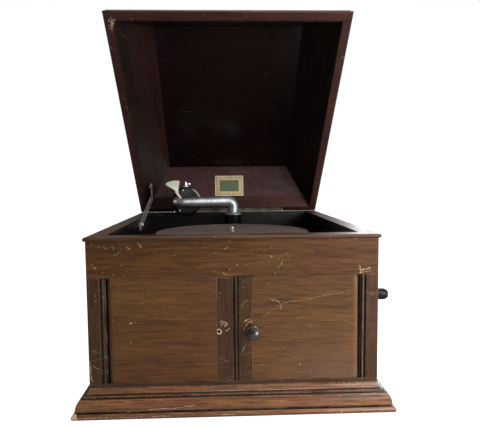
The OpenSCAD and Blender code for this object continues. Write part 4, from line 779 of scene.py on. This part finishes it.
screw_brass = old_metal("screw_brass", linear(190, 168, 120), linear(110, 94, 66), (0.3, 0.5))
SCREWS_IN_A_LEAF, SCREW_RADIUS, SCREW_RISE = 7, 0.0021, 0.00025
SCREW_FROM_AXIS, LID_LEAF_FACE = 0.0075, 0.0001
lid_turn = Matrix.Rotation(-LID_TILT, 4, "X")
for k in range(SCREWS_IN_A_LEAF):
    across = leaf_low.x + (leaf_high.x - leaf_low.x) * (k + 0.5) / SCREWS_IN_A_LEAF
    row = HINGE_AXIS.y - SCREW_FROM_AXIS
    small_head(f"hinge_screw_body_{k}", (across, row, SEAT_HEIGHT), (0, 0, 1),
               SCREW_RADIUS, SCREW_RISE, "cabinet", screw_brass, 0.7 * k)
    closed_at = Vector((across, row, HINGE_AXIS.z + LID_LEAF_FACE)) - HINGE_AXIS
    small_head(f"hinge_screw_lid_{k}", HINGE_AXIS + lid_turn @ closed_at,
               lid_turn @ Vector((0, 0, -1)), SCREW_RADIUS, SCREW_RISE, "lid", screw_brass,
               1.1 * k)

# The plate on the lid's back slope: thin varnished metal with a cream line round its edge,
# a dark line, a broad gold band and a plain dark green field. Four brass pins hold it.
FIELD_GREEN, BAND_BLUR = linear(104, 122, 92), 0.006
PLATE_BANDS = ((0.318, linear(112, 82, 52)), (0.330, linear(228, 204, 144)),
               (0.440, linear(88, 56, 38)), (0.454, linear(252, 246, 226)),
               (0.490, linear(150, 124, 84)))
UP_SHARE, UP_START = 0.73, 0.135
plate, tree, bsdf = new_material("plain_plate")
across_plate, _, up_plate = put(tree, "ShaderNodeSeparateXYZ", {
    "Vector": put(tree, "ShaderNodeTexCoord").outputs["Generated"]}).outputs
inset = value_of(tree, "MAXIMUM", off_middle(tree, across_plate), plus(
    tree, times(tree, off_middle(tree, up_plate), UP_SHARE), UP_START))
colour = FIELD_GREEN
for start, band in PLATE_BANDS:
    colour = mixed(tree, ramp(tree, inset, start, start + BAND_BLUR), colour, band)
aged = place(tree, tarnish, {
    "Object": put(tree, "ShaderNodeTexCoord").outputs["Object"], "Scale": 90.0})
colour = mixed(tree, times(tree, aged["Patches"], 0.35), colour, linear(92, 80, 56))
colour = mixed(tree, times(tree, aged["Specks"], 0.5), colour, linear(46, 36, 26))
tree.links.new(colour, bsdf.inputs["Base Color"])
tree.links.new(ramp(tree, aged["Patches"], 0.0, 1.0, 0.26, 0.46), bsdf.inputs["Roughness"])
bsdf.inputs["Coat Weight"].default_value = 0.6
bsdf.inputs["Coat Roughness"].default_value = 0.3
coat_with(plate, "label_plate")

PIN_INSET, PIN_STANDS_OUT, PIN_RADIUS, PIN_RISE = 0.0026, 0.0004, 0.0012, 0.0007
plate_low, plate_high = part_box("label_plate")
plate_middle, plate_size = (plate_low + plate_high) / 2, plate_high - plate_low
plate_out = Vector((0, -plate_size.z, -plate_size.y)).normalized()
plate_up = Vector((0, -plate_size.y, plate_size.z)).normalized()
pins_out = plate_size.x / 2 - PIN_INSET
pins_up = plate_size.z / 2 / plate_up.z - PIN_INSET
for k, (side, row) in enumerate(((-1, -1), (1, -1), (1, 1), (-1, 1))):
    pin_at = plate_middle + Vector((side * pins_out, 0, 0)) + row * pins_up * plate_up
    small_head(f"plate_pin_{k}", pin_at + PIN_STANDS_OUT * plate_out, plate_out,
               PIN_RADIUS, PIN_RISE, "lid", screw_brass)

# The motor board in the well of the cabinet, on its two battens: dark stained board,
# held by four nickelled screws, with a needle cup let in at each front corner and two
# pressed levers, one for the speed and one for the brake.
board_wood = polished_wood("motor_board_wood", ALONG_X, linear(20, 11, 10), linear(40, 22, 20),
                           gloss=0.22, wear=0.4, edge_tone=linear(96, 66, 50), coat=0.8)
coat_with(board_wood, "motor_board")
raw_wood = polished_wood("raw_wood", ALONG_Y, linear(120, 84, 50), linear(176, 136, 88),
                         gloss=0.6, wear=0.4, edge_tone=linear(150, 116, 80), coat=0.0)
coat_with(raw_wood, "board_battens")
coat_with(nickel, "board_screws", "needle_cups", "speed_lever", "brake_lever")

# The turntable: a pressed, nickelled platter under a disc of brown felt that is worn
# and dusty. Its steel spindle comes up through the middle.
coat_with(nickel, "platter")
coat_with(bright_nickel, "spindle")
felt, tree, bsdf = new_material("brown_felt")
at = put(tree, "ShaderNodeTexCoord").outputs["Object"]
NAP_RELIEF, NAP_DEPTH = 0.8, 0.0007
wool = noise(tree, at, 1500, 3.0, 0.7)
clumps = noise(tree, at, 240, 4.0, 0.65)
worn = ramp(tree, noise(tree, at, 14, 4.0), 0.35, 0.7)
colour = mixed(tree, ramp(tree, clumps, 0.3, 0.7), linear(66, 50, 46), linear(102, 82, 74))
colour = mixed(tree, times(tree, worn, 0.45), colour, linear(124, 106, 96))
colour = mixed(tree, ramp(tree, wool, 0.6, 0.75, 0.0, 0.35), colour, linear(140, 124, 112))
tree.links.new(colour, bsdf.inputs["Base Color"])
bump = relief(tree, plus(tree, wool, times(tree, clumps, 0.6)), NAP_RELIEF, NAP_DEPTH)
tree.links.new(bump.outputs[0], bsdf.inputs["Normal"])
tree.links.new(ramp(tree, clumps, 0.3, 0.7, 0.86, 1.0), bsdf.inputs["Roughness"])
bsdf.inputs["Specular IOR Level"].default_value = 0.15
bsdf.inputs["Sheen Weight"].default_value = 0.06
bsdf.inputs["Sheen Roughness"].default_value = 0.5
coat_with(felt, "felt_mat")

# The tone arm: two lengths of drawn, tapered and nickelled tube that turn in a black
# enamelled base. Its plating is dull in patches, dark in the joints and has a broad shine.
arm_nickel = old_metal("arm_nickel", linear(196, 201, 204), linear(150, 155, 158), (0.36, 0.5),
                       metallic=0.8, scale=24)
coat_with(arm_nickel, "arm_tube_rear", "arm_tube_front", "swan_neck")
DUST, RUBBED_IRON = linear(92, 88, 84), linear(128, 122, 112)
DUST_SHOWS, IRON_SHOWS, DUST_DULLER = 0.06, 0.6, 0.25
ENAMEL_EDGE, ENAMEL_RELIEF, ENAMEL_DEPTH = 0.0008, 0.05, 0.0003


def enamel(name, tint, rough):
    """Stoved enamel with fine dust and rubbed edges."""
    made, tree, bsdf = new_material(name)
    at = put(tree, "ShaderNodeTexCoord").outputs["Object"]
    rub = place(tree, rubbed, {"Object": at, "Width": ENAMEL_EDGE})["Mask"]
    dust = ramp(tree, noise(tree, at, 420, 4.0, 0.7), 0.5, 0.8)
    colour = mixed(tree, times(tree, dust, DUST_SHOWS), tint, DUST)
    colour = mixed(tree, times(tree, rub, IRON_SHOWS), colour, RUBBED_IRON)
    tree.links.new(colour, bsdf.inputs["Base Color"])
    tree.links.new(ramp(tree, dust, 0, 1, rough, rough + DUST_DULLER), bsdf.inputs["Roughness"])
    bump = relief(tree, noise(tree, at, 160, 2.0), ENAMEL_RELIEF, ENAMEL_DEPTH)
    tree.links.new(bump.outputs[0], bsdf.inputs["Normal"])
    bsdf.inputs["Specular IOR Level"].default_value = 0.3
    bsdf.inputs["Coat Weight"].default_value = 0.25
    return made


black_enamel = enamel("black_enamel", linear(5, 5, 6), rough=0.14)
coat_with(black_enamel, "arm_base")

# The sound box: an enamelled case and ring round a thin aluminium diaphragm, which the
# nickelled stylus bar joins to the needle. Three screws close its back, which faces the room
# while it is thrown back. Places on the arm are told along it from its upright, back and up.
coat_with(black_enamel, "sound_box_case", "sound_box_ring")
aluminium = old_metal("thin_aluminium", linear(188, 190, 194), linear(150, 152, 156),
                      (0.34, 0.5), scale=120, grime=0.3)
coat_with(aluminium, "diaphragm")
coat_with(bright_nickel, "stylus_bar", "needle_screw", "needle")
ARM_ROOT = Vector((0.009, 0.1645, 0.2944))
ARM_PARKED = math.radians(15)
ALONG_ARM = Vector((-math.cos(ARM_PARKED), -math.sin(ARM_PARKED), 0))
BACKWARD = Vector((-math.sin(ARM_PARKED), math.cos(ARM_PARKED), 0))
UPWARD = Vector((0, 0, 1))
BOX_ALONG, BOX_BACK, BOX_RADIUS = 0.101, 0.035, 0.034
BOX_SCREW_INSET, BOX_SCREW_RADIUS, BOX_SCREW_RISE = 0.0062, 0.0019, 0.0009


def on_arm(along, back, up):
    return ARM_ROOT + along * ALONG_ARM + back * BACKWARD + Vector((0, 0, up))


for k, angle in enumerate((70, 190, 310)):
    turn = math.radians(angle)
    reach = BOX_RADIUS - BOX_SCREW_INSET
    screw_at = on_arm(BOX_ALONG + reach * math.cos(turn), BOX_BACK, reach * math.sin(turn))
    small_head(f"sound_box_screw_{k}", screw_at, -BACKWARD, BOX_SCREW_RADIUS, BOX_SCREW_RISE,
               "sound_box", bright_nickel, 0.9 * k)

# The record brush on the swan-neck: an ivory-white stem, with a tuft of soft white hair
# pinched in its flared top. The tuft fans out over the arm's end and is a little unruly.
ivory, tree, bsdf = new_material("ivory_stem")
at = put(tree, "ShaderNodeTexCoord").outputs["Object"]
yellowed = ramp(tree, noise(tree, at, 180, 4.0, 0.6), 0.35, 0.75)
tree.links.new(mixed(tree, yellowed, linear(232, 228, 216), linear(196, 188, 170)),
               bsdf.inputs["Base Color"])
tree.links.new(ramp(tree, yellowed, 0, 1, 0.35, 0.6), bsdf.inputs["Roughness"])
coat_with(ivory, "brush_stem")
white_hair, tree, bsdf = new_material("white_hair")
at = put(tree, "ShaderNodeTexCoord").outputs["Object"]
shade = ramp(tree, noise(tree, at, 900, 2.0), 0.3, 0.7)
tree.links.new(mixed(tree, shade, linear(250, 249, 246), linear(232, 228, 220)),
               bsdf.inputs["Base Color"])
tree.links.new(ramp(tree, shade, 0, 1, 0.4, 0.6), bsdf.inputs["Roughness"])

HEAD_ALONG, HEAD_BACK, HEAD_UP = 0.1262, 0.0278, 0.0262
HEAD_HALF, HEAD_THICK, HEAD_SUNK = 0.0032, 0.0012, 0.0006
FAN_START, FAN_SWEEP = math.radians(-4), math.radians(57)
SHORT_HAIR, LONG_HAIR, SHORTEST = 0.0236, 0.0285, 0.86
HAIRS, HAIR_JOINTS, HAIR_RADIUS, HAIR_TAPER = 1400, 4, 0.00017, 0.65
UNRULY_DEGREES, HAIR_SWAY, TUFT_SPREAD = 2.0, 0.05, 0.0014
THREE_SIDES = (0.0, 2.094, 4.189)
draw = random.Random(11)
tuft = bmesh.new()
for _ in range(HAIRS):
    share, row = draw.random(), draw.uniform(-1, 1)
    lean = FAN_START + FAN_SWEEP * share + math.radians(draw.gauss(0, UNRULY_DEGREES))
    length = (SHORT_HAIR + (LONG_HAIR - SHORT_HAIR) * share ** 2) * draw.uniform(SHORTEST, 1.0)
    root = on_arm(HEAD_ALONG + HEAD_HALF * (2 * share - 1), HEAD_BACK + HEAD_THICK * row,
                  HEAD_UP - HEAD_SUNK)
    outward = math.sin(lean) * ALONG_ARM + math.cos(lean) * UPWARD
    sway = draw.gauss(0, HAIR_SWAY) * (math.cos(lean) * ALONG_ARM - math.sin(lean) * UPWARD)
    spread = TUFT_SPREAD * row * BACKWARD
    before = None
    for joint in range(HAIR_JOINTS + 1):
        t = joint / HAIR_JOINTS
        centre = root + length * t * outward + length * t * t * sway + t * spread
        thick = HAIR_RADIUS * (1.0 - HAIR_TAPER * t)
        ring = [tuft.verts.new(centre + thick * (
            math.cos(a) * BACKWARD + math.sin(a) * outward.cross(BACKWARD))) for a in THREE_SIDES]
        if before:
            join_rings(tuft, before, ring)
        before = ring
    tuft.faces.new(before)
brush_tuft = finished("brush_tuft", tuft, white_hair)
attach(brush_tuft, "sound_box")
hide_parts("brush_bristles")

# The crank: one bent steel rod, browned with age, that goes in through a brass escutcheon
# on the side, and a turned grip that spins on its end, stained nearly black and rubbed to
# a reddish brown along its edges.
coat_with(old_brass, "crank_escutcheon")
browned = old_metal("browned_steel", linear(96, 84, 74), linear(54, 42, 36), (0.34, 0.55),
                    scale=70)
coat_with(browned, "crank_rod")
grip_wood = polished_wood("grip_wood", ALONG_X, linear(7, 4, 5), linear(24, 14, 13), gloss=0.34,
                          wear=0.8, edge_tone=linear(170, 112, 78), coat=0.15, shine=0.2)
coat_with(grip_wood, "crank_grip")

# Under the board: the horn of plain wood on its cast-iron elbow, the iron motor frame,
# painted black like the elbow, and the clockwork of brass wheels, steel arbors and a blued
# mainspring.
coat_with(raw_wood, "horn")
iron = enamel("cast_iron_black", linear(36, 37, 37), rough=0.45)
coat_with(iron, "horn_elbow", "motor_frame")
wheel_brass = old_metal("wheel_brass", linear(202, 166, 98), linear(140, 108, 62), (0.3, 0.46))
coat_with(wheel_brass, "intermediate_gear", "governor")
coat_with(plain_steel, "spring_barrel", "winding_wheel")
blued = old_metal("blued_spring", linear(70, 82, 110), linear(44, 48, 60), (0.26, 0.4))
coat_with(blued, "mainspring")
